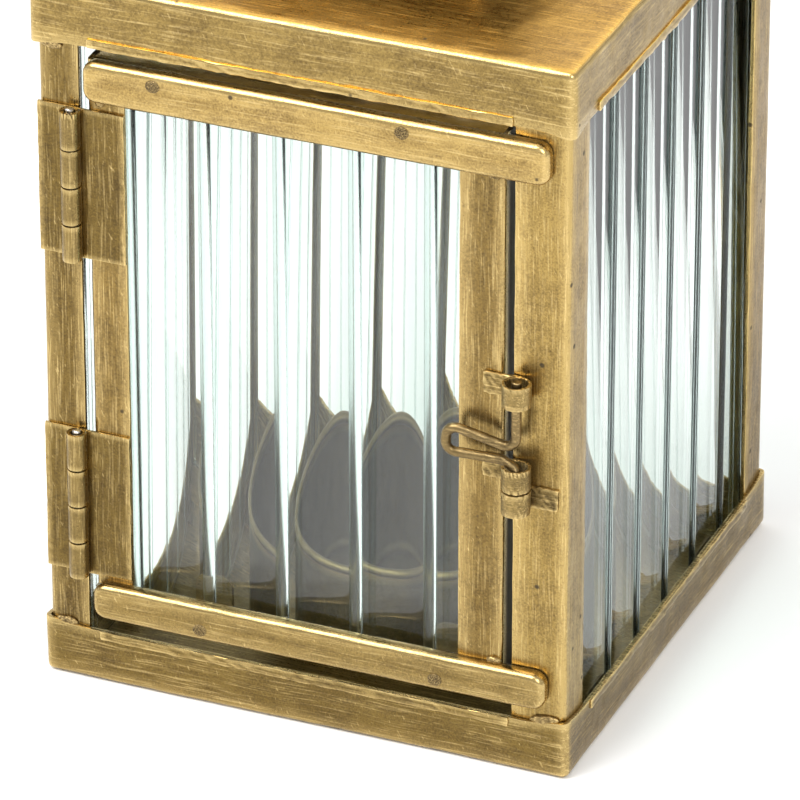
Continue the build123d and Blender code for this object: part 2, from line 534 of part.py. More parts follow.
def build():
    """Every node by name: a solid, or a list of separate solids."""
    nodes = {}
    nodes["base_tray"] = square_tray(BASE_HALF, BASE_LIP)
    nodes["candle_cup"] = candle_cup()
    nodes["post_front_left"] = corner_post(False, False, HINGE_POST_FACE, POST_FACE)
    nodes["post_front_right"] = corner_post(True, False, LATCH_POST_FACE, POST_FACE)
    nodes["post_back_left"] = corner_post(False, True, POST_FACE, POST_FACE)
    nodes["post_back_right"] = corner_post(True, True, POST_FACE, POST_FACE)
    nodes["top_cap"] = cap()
    side_length = 2 * (POST_HALF - SHEET - PANE_END_GAP)
    back_length = 2 * (FIXED_PANE_INNER - PANE_END_GAP)
    nodes["glass_right"] = fixed_pane(90, side_length, RIGHT_RIDGE_AT)
    nodes["glass_back"] = fixed_pane(180, back_length, BACK_RIDGE_AT)
    nodes["glass_left"] = fixed_pane(-90, side_length, LEFT_RIDGE_AT)
    nodes["pane_tabs_right"] = pane_tabs(90)
    nodes["pane_tabs_back"] = pane_tabs(180)
    nodes["pane_tabs_left"] = pane_tabs(-90)
    nodes["chimney_collar"] = chimney_collar()
    nodes["chimney_roof"] = chimney_roof()
    nodes["ring_eye"] = ring_eye()
    nodes["eye_washer"] = eye_washer()
    nodes["ring_handle"] = ring_handle()
    places = clip_places()
    top_rivets = [(x, z) for x, z, up in places if up > 0]
    bottom_rivets = [(x, z) for x, z, up in places if up < 0]
    nodes["door_top_rail"] = door_rail(DOOR_TOP - TOP_RAIL_HEIGHT, DOOR_TOP, top_rivets)
    nodes["door_bottom_rail"] = door_rail(DOOR_BOTTOM, DOOR_BOTTOM + BOTTOM_RAIL_HEIGHT, bottom_rivets)
    nodes["door_hinge_stile"] = door_stile(DOOR_LEFT, DOOR_LEFT + HINGE_STILE_FACE)
    nodes["door_latch_stile"] = door_stile(DOOR_RIGHT, DOOR_RIGHT - LATCH_STILE_FACE)
    pane_start = DOOR_LEFT + STILE_SHEET + PANE_END_GAP
    pane_end = DOOR_RIGHT - STILE_SHEET - PANE_END_GAP
    pane = fluted_pane(pane_start, pane_end, DOOR_RIDGE_AT, DOOR_PANE_TOP - DOOR_PANE_BOTTOM)
    nodes["door_glass"] = Pos(0, DOOR_PANE_BACK, DOOR_PANE_BOTTOM) * pane
    nodes["door_glass_clips"] = [glass_clip(x, z, up) for x, z, up in places]
    nodes["door_clip_rivets"] = [clip_rivet(x, z) for x, z, up in places]
    for name, middle in (("upper", UPPER_HINGE_Z), ("lower", LOWER_HINGE_Z)):
        nodes[f"{name}_hinge_frame_leaf"] = hinge_leaf(middle, False)
        nodes[f"{name}_hinge_door_leaf"] = hinge_leaf(middle, True)
        nodes[f"{name}_hinge_pin"] = hinge_pin(middle)
    nodes["latch_upper_barrel"] = door_barrel(UPPER_BARREL_Z, False)
    nodes["latch_lower_barrel"] = door_barrel(LOWER_BARREL_Z, True)
    nodes["latch_keeper"] = keeper()
    nodes["latch_pin"] = latch_pin()
    return nodes


def main():
    os.makedirs("parts", exist_ok=True)
    for name, shape in build().items():
        solid = Compound(children=shape) if isinstance(shape, list) else shape
        export_step(solid, f"parts/{name}.step")
    print("hinge axis", HINGE_X, HINGE_Y, "eye", EYE_Z, "ring rest", ring_rest_angle())


main()
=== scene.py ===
import logging
import math
from contextlib import contextmanager
from dataclasses import dataclass
from enum import Enum
from typing import Callable, Iterator, Sequence, Union

import bmesh
import bpy
from mathutils import Matrix, Vector


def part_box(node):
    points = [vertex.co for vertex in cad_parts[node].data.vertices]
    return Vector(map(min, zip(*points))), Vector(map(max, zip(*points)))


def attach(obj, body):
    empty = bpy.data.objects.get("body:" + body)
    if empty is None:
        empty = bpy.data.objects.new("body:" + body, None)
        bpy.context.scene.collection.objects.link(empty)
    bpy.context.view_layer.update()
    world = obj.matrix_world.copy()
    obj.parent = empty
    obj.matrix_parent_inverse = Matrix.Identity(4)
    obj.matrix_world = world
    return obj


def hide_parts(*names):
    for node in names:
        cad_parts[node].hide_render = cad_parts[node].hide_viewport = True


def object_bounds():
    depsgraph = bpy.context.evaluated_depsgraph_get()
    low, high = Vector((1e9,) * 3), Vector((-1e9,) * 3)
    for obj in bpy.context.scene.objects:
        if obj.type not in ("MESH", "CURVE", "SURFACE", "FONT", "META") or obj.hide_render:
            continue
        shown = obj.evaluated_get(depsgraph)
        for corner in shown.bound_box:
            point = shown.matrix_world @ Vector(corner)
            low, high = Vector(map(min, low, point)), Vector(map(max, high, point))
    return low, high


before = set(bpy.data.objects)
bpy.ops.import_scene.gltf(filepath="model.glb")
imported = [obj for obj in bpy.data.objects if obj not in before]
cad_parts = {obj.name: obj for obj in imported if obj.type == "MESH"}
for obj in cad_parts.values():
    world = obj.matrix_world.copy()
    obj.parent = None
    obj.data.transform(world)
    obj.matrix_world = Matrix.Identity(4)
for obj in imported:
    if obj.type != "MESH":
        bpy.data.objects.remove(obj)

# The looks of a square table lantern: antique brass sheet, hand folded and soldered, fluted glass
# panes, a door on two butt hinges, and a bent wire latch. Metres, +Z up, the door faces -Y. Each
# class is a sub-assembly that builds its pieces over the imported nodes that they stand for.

MM = 0.001
TOUCH = 0.01 * MM  # how near a place counts as on a flat face
NEAR = 0.05 * MM  # how near a place counts as on a cut edge
MIDDLE = Vector((0.0, 0.0, 0.09))  # what the lamps aim at
CAD_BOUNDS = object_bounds()
LOG = logging.getLogger("lantern")

Colour = tuple[float, float, float]
Number = Union[float, "Signal"]
Test = Callable[[Vector, Vector], bool]

UP = Vector((0.0, 0.0, 1.0))


class Element(Enum):
    """What a selection in edit mode is made of."""

    VERTEX = "VERT"
    EDGE = "EDGE"
    FACE = "FACE"


class Grain(Enum):
    """Which way the brush marks run on a piece."""

    ACROSS = 0
    DEPTH = 1
    UPRIGHT = 2
    ALONG_LIPS = 3


class Facing(Enum):
    """Which side of the lantern a pane stands on, as a turn about the vertical in degrees."""

    FRONT = 0
    RIGHT = 90
    BACK = 180
    LEFT = -90


@dataclass(frozen=True)
class Extent:
    """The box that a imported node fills, in metres."""

    low: Vector
    high: Vector

    @classmethod
    def of(cls, node: str) -> "Extent":
        """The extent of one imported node.

        Args:
            node: The node's name.

        Returns:
            Its box.
        """
        low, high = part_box(node)
        return cls(low, high)

    @property
    def centre(self) -> Vector:
        """The middle of the box."""
        return (self.low + self.high) / 2

    @property
    def size(self) -> Vector:
        """The box's three sides."""
        return self.high - self.low


def spread(low: float, high: float, step: float) -> list[float]:
    """Evenly spaced places strictly between two ends.

    Args:
        low: The first end.
        high: The other end.
        step: About how far apart the places are.

    Returns:
        The places, without the ends.
    """
    count = max(1, round((high - low) / step))
    return [low + (high - low) * k / count for k in range(1, count)]


# ---- the bench ----------------------------------------------------------------------------------------


class Workpiece:
    """A mesh on the bench: added as a primitive, shaped in edit mode, finished and mounted."""

    SMOOTH_ANGLE = math.radians(38.0)
    MERGE_REACH = 0.002 * MM
    WEAR_GAIN = 3.6

    def __init__(self, name: str) -> None:
        """Takes the primitive that was just added.

        Args:
            name: The piece's name.
        """
        self.object = bpy.context.active_object
        self.object.name = name
        self.object.data.name = name
        self.settle()

    @staticmethod
    def clear_bench() -> None:
        """Leaves nothing selected."""
        bpy.ops.object.select_all(action="DESELECT")

    @classmethod
    def block(cls, name: str, low: Sequence[float], high: Sequence[float]) -> "Workpiece":
        """A block between two corners.

        Args:
            name: The piece's name.
            low: Its lowest corner.
            high: Its highest corner.

        Returns:
            The new piece.
        """
        cls.clear_bench()
        low, high = Vector(low), Vector(high)
        bpy.ops.mesh.primitive_cube_add(size=1.0, location=(low + high) / 2, scale=high - low)
        return cls(name)

    @classmethod
    def rod(
        cls, name: str, start: Sequence[float], end: Sequence[float], radius: float, sides: int = 28
    ) -> "Workpiece":
        """A round bar between two points.

        Args:
            name: The piece's name.
            start: The middle of one end.
            end: The middle of the other end.
            radius: The bar's radius.
            sides: How many flats stand for the round.

        Returns:
            The new piece.
        """
        cls.clear_bench()
        start, end = Vector(start), Vector(end)
        run = end - start
        turn = run.to_track_quat("Z", "Y").to_euler()
        bpy.ops.mesh.primitive_cylinder_add(
            vertices=sides, radius=radius, depth=run.length, location=(start + end) / 2, rotation=turn
        )
        return cls(name)

    @classmethod
    def lump(
        cls, name: str, centre: Sequence[float], size: Sequence[float], turn: float = 0.0
    ) -> "Workpiece":
        """A rounded lump of solder.

        Args:
            name: The piece's name.
            centre: Its middle.
            size: Its three half sizes.
            turn: Its turn about the axis that looks out of the lantern's front, in radians.

        Returns:
            The new piece.
        """
        cls.clear_bench()
        bpy.ops.mesh.primitive_ico_sphere_add(
            subdivisions=4, radius=1.0, location=centre, rotation=(0.0, turn, 0.0), scale=size
        )
        return cls(name)

    @classmethod
    def hoop(
        cls,
        name: str,
        centre: Sequence[float],
        radius: float,
        wire: float,
        tilt: float = 0.0,
        sides: int = 96,
    ) -> "Workpiece":
        """A closed ring of round wire.

        Args:
            name: The piece's name.
            centre: Its middle.
            radius: From the middle to the wire's own middle.
            wire: The wire's radius.
            tilt: Its turn about X, in radians; level at 0.
            sides: Steps round the ring.

        Returns:
            The new piece.
        """
        cls.clear_bench()
        bpy.ops.mesh.primitive_torus_add(
            major_radius=radius,
            minor_radius=wire,
            major_segments=sides,
            minor_segments=16,
            location=centre,
            rotation=(tilt, 0.0, 0.0),
        )
        return cls(name)

    @classmethod
    def leaf(cls, name: str, centre: Vector, across: float, tall: float, turn: float) -> "Workpiece":
        """An upright rectangle without thickness, standing out from a vertical axis.

        Args:
            name: The piece's name.
            centre: Its middle.
            across: Its level side.
            tall: Its upright side.
            turn: The direction of its level side about the vertical, in radians.

        Returns:
            The new piece.
        """
        cls.clear_bench()
        bpy.ops.mesh.primitive_plane_add(size=1.0, location=centre, rotation=(math.pi / 2, 0.0, turn))
        sheet = bpy.context.active_object
        sheet.scale = (across, tall, 1.0)
        return cls(name)

    def settle(self) -> None:
        """Puts the object at the origin, unturned and unscaled, with its place in its mesh."""
        self.take_up()
        bpy.ops.object.transform_apply(location=True, rotation=True, scale=True)

    def take_up(self) -> None:
        """Makes this piece the only selected one, and the active one."""
        self.clear_bench()
        self.object.select_set(True)
        bpy.context.view_layer.objects.active = self.object

    @contextmanager
    def shaping(self) -> Iterator[None]:
        """Holds the piece in edit mode for a with block."""
        self.take_up()
        bpy.ops.object.mode_set(mode="EDIT")
        yield
        bpy.ops.object.mode_set(mode="OBJECT")

    def pick(self, kind: Element, test: Test) -> int:
        """Selects elements by their place and direction, in edit mode.

        Args:
            kind: Vertices, edges or faces.
            test: Given an element's middle and its normal, or an edge's direction, says if it is picked.

        Returns:
            How many were picked.
        """
        bpy.ops.mesh.select_mode(type=kind.value)
        bpy.ops.mesh.select_all(action="DESELECT")
        mesh = bmesh.from_edit_mesh(self.object.data)
        picked = 0
        if kind is Element.VERTEX:
            found = [(v, v.co, v.normal) for v in mesh.verts]
        elif kind is Element.EDGE:
            found = []
            for e in mesh.edges:
                a, b = e.verts[0].co, e.verts[1].co
                found.append((e, (a + b) / 2, (b - a).normalized()))
        else:
            found = [(f, f.calc_center_median(), f.normal) for f in mesh.faces]
        for element, place, direction in found:
            if test(place, direction):
                element.select_set(True)
                picked += 1
        mesh.select_flush_mode()
        bmesh.update_edit_mesh(self.object.data)
        return picked

    def remove_faces(self, test: Test) -> None:
        """Deletes the faces that pass a test, in edit mode."""
        if self.pick(Element.FACE, test):
            bpy.ops.mesh.delete(type="FACE")

    def round_edges(self, test: Test, radius: float, segments: int = 4) -> None:
        """Bevels the edges that pass a test, in edit mode.

        Args:
            test: Given an edge's middle and direction, says if it is rounded.
            radius: How far from the edge the rounding starts.
            segments: Steps across the rounding.
        """
        if self.pick(Element.EDGE, test):
            bpy.ops.mesh.bevel(offset=radius, segments=segments, affect="EDGES", clamp_overlap=True)

    def slice(self, axis: int, places: Sequence[float]) -> None:
        """Cuts the whole mesh at each place along an axis, in edit mode.

        Args:
            axis: 0 for X, 1 for Y, 2 for Z.
            places: Where the cuts go.
        """
        normal = [0.0, 0.0, 0.0]
        normal[axis] = 1.0
        for place in places:
            bpy.ops.mesh.select_all(action="SELECT")
            bpy.ops.mesh.bisect(plane_co=[place * n for n in normal], plane_no=normal)

    def jitter(self, test: Test, reach: float, seed: int) -> None:
        """Moves the vertices that pass a test by small seeded random steps, in edit mode.

        Args:
            test: Given a vertex's place and normal, says if it moves.
            reach: The largest step.
            seed: The seed of the steps.
        """
        if self.pick(Element.VERTEX, test):
            bpy.ops.transform.vertex_random(offset=reach, uniform=0.0, normal=0.0, seed=seed)

    def push(self, test: Test, step: Sequence[float], reach: float) -> None:
        """Moves the vertices that pass a test, with a soft falloff round them, in edit mode.

        Args:
            test: Given a vertex's place and normal, says if it moves all the way.
            step: How far it moves.
            reach: How far the falloff reaches; 0 for none.
        """
        if self.pick(Element.VERTEX, test):
            bpy.ops.transform.translate(
                value=step,
                use_proportional_edit=reach > 0,
                proportional_edit_falloff="SMOOTH",
                proportional_size=max(reach, MM),
            )

    @staticmethod
    def sweep(centre: Sequence[float], axis: Sequence[float], angle: float, steps: int) -> None:
        """Spins what is selected about an axis, in edit mode.

        Args:
            centre: A point on the axis.
            axis: Its direction.
            angle: The turn in radians, anticlockwise as seen from the axis's tip.
            steps: How many steps stand for the turn.
        """
        bpy.ops.mesh.spin(steps=steps, angle=-angle, center=centre, axis=axis)

    def face_outwards(self) -> None:
        """Merges doubles and turns every face outwards, in edit mode."""
        bpy.ops.mesh.select_all(action="SELECT")
        bpy.ops.mesh.remove_doubles(threshold=self.MERGE_REACH)
        bpy.ops.mesh.select_all(action="SELECT")
        bpy.ops.mesh.normals_make_consistent(inside=False)

    def modify(self, kind: str, **settings) -> None:
        """Adds one modifier and applies it.

        Args:
            kind: Blender's name for the modifier's type.
            **settings: Its settings.
        """
        self.take_up()
        modifier = self.object.modifiers.new(kind.title(), kind)
        for key, value in settings.items():
            setattr(modifier, key, value)
        bpy.ops.object.modifier_apply(modifier=modifier.name)

    def wave(self, depth: float, size: float) -> None:
        """Gives the surface the slow unevenness of hand-worked metal.

        Args:
            depth: From the lowest hollow to the highest swell.
            size: About how wide a swell is.
        """
        clouds = bpy.data.textures.new(f"{self.object.name}_wave", "CLOUDS")
        clouds.noise_scale = size
        clouds.noise_depth = 1
        self.modify("DISPLACE", texture=clouds, texture_coords="LOCAL", strength=depth, mid_level=0.5)

    def plate(self, thickness: float) -> None:
        """Gives an open skin its thickness, on its inner side."""
        self.modify("SOLIDIFY", thickness=thickness, offset=-1.0, use_even_offset=True)

    def soften(self, width: float, segments: int = 2, angle: float = 40.0) -> None:
        """Takes the sharpness off every edge.

        Args:
            width: The bevel's width.
            segments: Steps across it.
            angle: The least angle between faces that counts as an edge, in degrees.
        """
        self.modify(
            "BEVEL",
            width=width,
            segments=segments,
            limit_method="ANGLE",
            angle_limit=math.radians(angle),
            use_clamp_overlap=True,
        )

    def turn_about(self, centre: Sequence[float], axis: str, angle: float) -> None:
        """Turns the piece about an axis through a point.

        Args:
            centre: The point.
            axis: X, Y or Z.
            angle: The turn in radians.
        """
        there = Matrix.Translation(Vector(centre))
        turn = there @ Matrix.Rotation(angle, 4, axis) @ there.inverted()
        self.object.matrix_world = turn @ self.object.matrix_world
        self.settle()

    def weld(self, others: Sequence["Workpiece"]) -> None:
        """Joins other pieces into this one's mesh."""
        self.clear_bench()
        for other in others:
            other.object.select_set(True)
        self.object.select_set(True)
        bpy.context.view_layer.objects.active = self.object
        bpy.ops.object.join()

    def cut_out(self, cutter: "Workpiece") -> None:
        """Cuts another piece's shape out of this one, and uses that piece up."""
        self.modify("BOOLEAN", operation="DIFFERENCE", object=cutter.object, solver="EXACT")
        bpy.data.objects.remove(cutter.object)

    def mark_wear(self) -> None:
        """Writes how far each vertex stands out as wear, and how far it lies in a fold as the fold dirt
        in dirt_and_gap_shade.
        """
        mesh = self.object.data
        lean = [0.0] * len(mesh.vertices)
        ties = [0] * len(mesh.vertices)
        for edge in mesh.edges:
            a, b = edge.vertices
            step = (mesh.vertices[b].co - mesh.vertices[a].co).normalized()
            lean[a] -= mesh.vertices[a].normal.dot(step)
            lean[b] += mesh.vertices[b].normal.dot(step)
            ties[a] += 1
            ties[b] += 1
        bend = [total / max(1, count) for total, count in zip(lean, ties)]
        for name, sign in (("wear", 1.0), ("dirt_and_gap_shade", -1.0)):
            attribute = mesh.attributes.new(name, "FLOAT", "POINT")
            values = [min(1.0, max(0.0, sign * value * self.WEAR_GAIN)) for value in bend]
            attribute.data.foreach_set("value", values)

    def paint_shade(self, test: Callable[[Vector], bool], least: float) -> None:
        """Raises the attribute dirt_and_gap_shade where a test passes, to paint shade in a gap.

        Args:
            test: Given a vertex's place, says if it lies in the painted shade.
            least: The least value there.
        """
        mesh = self.object.data
        dirt_and_gap_shade = mesh.attributes["dirt_and_gap_shade"].data
        for vertex, value in zip(mesh.vertices, dirt_and_gap_shade):
            if test(vertex.co):
                value.value = max(value.value, least)

    def mount(self, body: str, slot: str, material: bpy.types.Material, *nodes: str) -> None:
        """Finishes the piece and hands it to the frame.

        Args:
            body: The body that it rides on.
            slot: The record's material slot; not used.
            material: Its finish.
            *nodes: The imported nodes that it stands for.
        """
        self.take_up()
        bpy.ops.object.shade_smooth_by_angle(angle=self.SMOOTH_ANGLE)
        self.mark_wear()
        self.object.data.materials.clear()
        self.object.data.materials.append(material)
        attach(self.object, body)
        if nodes:
            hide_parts(*nodes)
        LOG.info("%s rides on %s: %d faces", self.object.name, body, len(self.object.data.polygons))


@dataclass(frozen=True)
class Sheet:
    """Hand-worked sheet metal: its thickness, its unevenness and its softened edge."""

    thickness: float
    swell: tuple[float, float]
    ripple: tuple[float, float]
    edge: float

    def work(self, skin: Workpiece) -> None:
        """Makes an open skin into worked sheet.

        Args:
            skin: The skin, whose inner side gets the thickness.
        """
        skin.wave(*self.swell)
        skin.wave(*self.ripple)
        skin.plate(self.thickness)
        skin.soften(self.edge)


TRAY_SHEET = Sheet(1.0 * MM, (0.42 * MM, 26 * MM), (0.10 * MM, 6 * MM), 0.22 * MM)
POST_SHEET = Sheet(1.0 * MM, (0.26 * MM, 24 * MM), (0.07 * MM, 5 * MM), 0.2 * MM)
STILE_SHEET = Sheet(0.9 * MM, (0.20 * MM, 24 * MM), (0.07 * MM, 5 * MM), 0.2 * MM)
RAIL_SHEET = Sheet(0.9 * MM, (0.24 * MM, 20 * MM), (0.08 * MM, 5 * MM), 0.18 * MM)


# ---- finishes -----------------------------------------------------------------------------------------


class Signal:
    """A socket's value, with Python's operators standing for Math nodes."""

    def __init__(self, tree: "FinishTree", socket: bpy.types.NodeSocket) -> None:
        """Wraps one output socket of a finish's tree."""
        self.tree = tree
        self.socket = socket

    def _math(self, operation: str, first: Number, second: Number = 0.0) -> "Signal":
        """One Math node.

        Args:
            operation: Its operation.
            first: Its first value.
            second: Its second value.

        Returns:
            Its result.
        """
        return self.tree.add("ShaderNodeMath", {"operation": operation}, {0: first, 1: second})

    def __add__(self, other: Number) -> "Signal":
        """Adds."""
        return self._math("ADD", self, other)

    def __radd__(self, other: Number) -> "Signal":
        """Adds to a number."""
        return self._math("ADD", other, self)

    def __sub__(self, other: Number) -> "Signal":
        """Subtracts."""
        return self._math("SUBTRACT", self, other)

    def __rsub__(self, other: Number) -> "Signal":
        """Subtracts from a number."""
        return self._math("SUBTRACT", other, self)

    def __mul__(self, other: Number) -> "Signal":
        """Multiplies."""
        return self._math("MULTIPLY", self, other)

    def __rmul__(self, other: Number) -> "Signal":
        """Multiplies a number."""
        return self._math("MULTIPLY", other, self)

    def __gt__(self, other: Number) -> "Signal":
        """1 where this is more, else 0."""
        return self._math("GREATER_THAN", self, other)

    def __abs__(self) -> "Signal":
        """The size without the sign."""
        return self._math("ABSOLUTE", self)

    def step(self, low: float, high: float, start: float = 0.0, end: float = 1.0) -> "Signal":
        """A smooth step between two values.

        Args:
            low: Where the step begins.
            high: Where it ends.
            start: The result before it.
            end: The result after it.

        Returns:
            The stepped signal.
        """
        return self.tree.add(
            "ShaderNodeMapRange",
            {"interpolation_type": "SMOOTHSTEP"},
            {"Value": self, "From Min": low, "From Max": high, "To Min": start, "To Max": end},
        )

    def held(self) -> "Signal":
        """The signal held between 0 and 1."""
        return self.tree.add("ShaderNodeClamp", {}, {"Value": self, "Min": 0.0, "Max": 1.0})


class FinishTree:
    """One material's node tree, and the ways that nodes are put in it."""

    def __init__(self, name: str) -> None:
        """Starts an empty material.

        Args:
            name: The material's name.
        """
        self.material = bpy.data.materials.new(name)
        self.material.use_nodes = True
        self.nodes = self.material.node_tree.nodes
        self.links = self.material.node_tree.links
        self.nodes.clear()
        self.output = self.nodes.new("ShaderNodeOutputMaterial")

    def add(self, kind: str, settings: dict, inputs: dict, output: Union[int, str] = 0) -> Signal:
        """Puts in one node.

        Args:
            kind: The node's type.
            settings: Its settings, which are set first; stops are a ramp's places and colours.
            inputs: The values or signals of its inputs, by name or number.
            output: The output that is returned.

        Returns:
            That output as a signal.
        """
        node = self.nodes.new(kind)
        for key, value in settings.items():
            if key == "stops":
                self.set_stops(node, value)
            else:
                setattr(node, key, value)
        for key, value in inputs.items():
            if isinstance(value, Signal):
                self.links.new(value.socket, node.inputs[key])
            else:
                node.inputs[key].default_value = value
        return Signal(self, node.outputs[output])

    @staticmethod
    def set_stops(ramp: bpy.types.Node, stops: Sequence[tuple[float, Colour]]) -> None:
        """Gives a colour ramp its stops."""
        elements = ramp.color_ramp.elements
        while len(elements) < len(stops):
            elements.new(0.5)
        for element, (place, colour) in zip(elements, stops):
            element.position = place
            element.color = (*colour, 1.0)

    def place(self) -> Signal:
        """The Object coordinates."""
        return self.add("ShaderNodeTexCoord", {}, {}, "Object")

    def attribute(self, name: str) -> Signal:
        """A number written on the mesh."""
        return self.add("ShaderNodeAttribute", {"attribute_name": name}, {}, "Fac")

    def stretched(
        self, place: Signal, scale: Sequence[float], turn: Sequence[float] = (0, 0, 0)
    ) -> Signal:
        """Coordinates scaled, and turned, by a Mapping node."""
        inputs = {"Vector": place, "Scale": tuple(scale), "Rotation": tuple(turn)}
        return self.add("ShaderNodeMapping", {}, inputs)

    def noise(self, place: Signal, scale: float, detail: float = 3.0, rough: float = 0.55) -> Signal:
        """Noise of a given scale.

        Args:
            place: The coordinates that it reads.
            scale: Swells in a metre.
            detail: Octaves.
            rough: How strong the fine octaves are.

        Returns:
            Its value, about 0.5 on average.
        """
        inputs = {"Vector": place, "Scale": scale, "Detail": detail, "Roughness": rough}
        return self.add("ShaderNodeTexNoise", {}, inputs)

    def unsteady(self, place: Signal, scale: float, reach: float) -> Signal:
        """Coordinates that wander a little, so that what is drawn on them isn't ruler straight."""
        noise = {"Vector": place, "Scale": scale, "Detail": 1.0}
        drift = self.add("ShaderNodeTexNoise", {}, noise, "Color")
        centred = self.vector("SUBTRACT", {0: drift, 1: (0.5, 0.5, 0.5)})
        return self.vector("ADD", {0: place, 1: self.vector("SCALE", {0: centred, "Scale": reach})})

    def vector(self, operation: str, inputs: dict) -> Signal:
        """One Vector Math node."""
        return self.add("ShaderNodeVectorMath", {"operation": operation}, inputs)

    def blend(
        self, share: Number, first: Union[Colour, Signal], second: Union[Colour, Signal]
    ) -> Signal:
        """A mix of two colours.

        Args:
            share: How much of the second shows, from 0 to 1.
            first: The first colour.
            second: The second colour.

        Returns:
            The mixed colour.
        """
        inputs = {0: share, 6: first, 7: second}
        inputs = {key: (*v, 1.0) if isinstance(v, tuple) else v for key, v in inputs.items()}
        return self.add("ShaderNodeMix", {"data_type": "RGBA"}, inputs, 2)

    def bump(
        self, height: Signal, strength: float, depth: float, under: Union[Signal, None] = None
    ) -> Signal:
        """A normal bent by a height.

        Args:
            height: The height, from 0 to 1.
            strength: How much of it shows.
            depth: What a height of 1 stands for, in metres.
            under: The normal that it is added to.

        Returns:
            The new normal.
        """
        inputs = {"Height": height, "Strength": strength, "Distance": depth}
        if under is not None:
            inputs["Normal"] = under
        return self.add("ShaderNodeBump", {}, inputs)

    def principled(self, inputs: dict) -> Signal:
        """One Principled shader with the given inputs."""
        return self.add("ShaderNodeBsdfPrincipled", {}, inputs)

    def show(self, surface: Signal) -> bpy.types.Material:
        """Sends a shader to the material's output, and returns the material."""
        self.links.new(surface.socket, self.output.inputs["Surface"])
        return self.material


@dataclass(frozen=True)
class Finish:
    """A finish whose material is made at the first call and then shared."""

    name: str

    def material(self) -> bpy.types.Material:
        """The finish as a material."""
        made = bpy.data.materials.get(self.name)
        return self.make(FinishTree(self.name)) if made is None else made

    def make(self, tree: FinishTree) -> bpy.types.Material:
        """Fills the finish's tree, each finish in its own way."""
        raise NotImplementedError


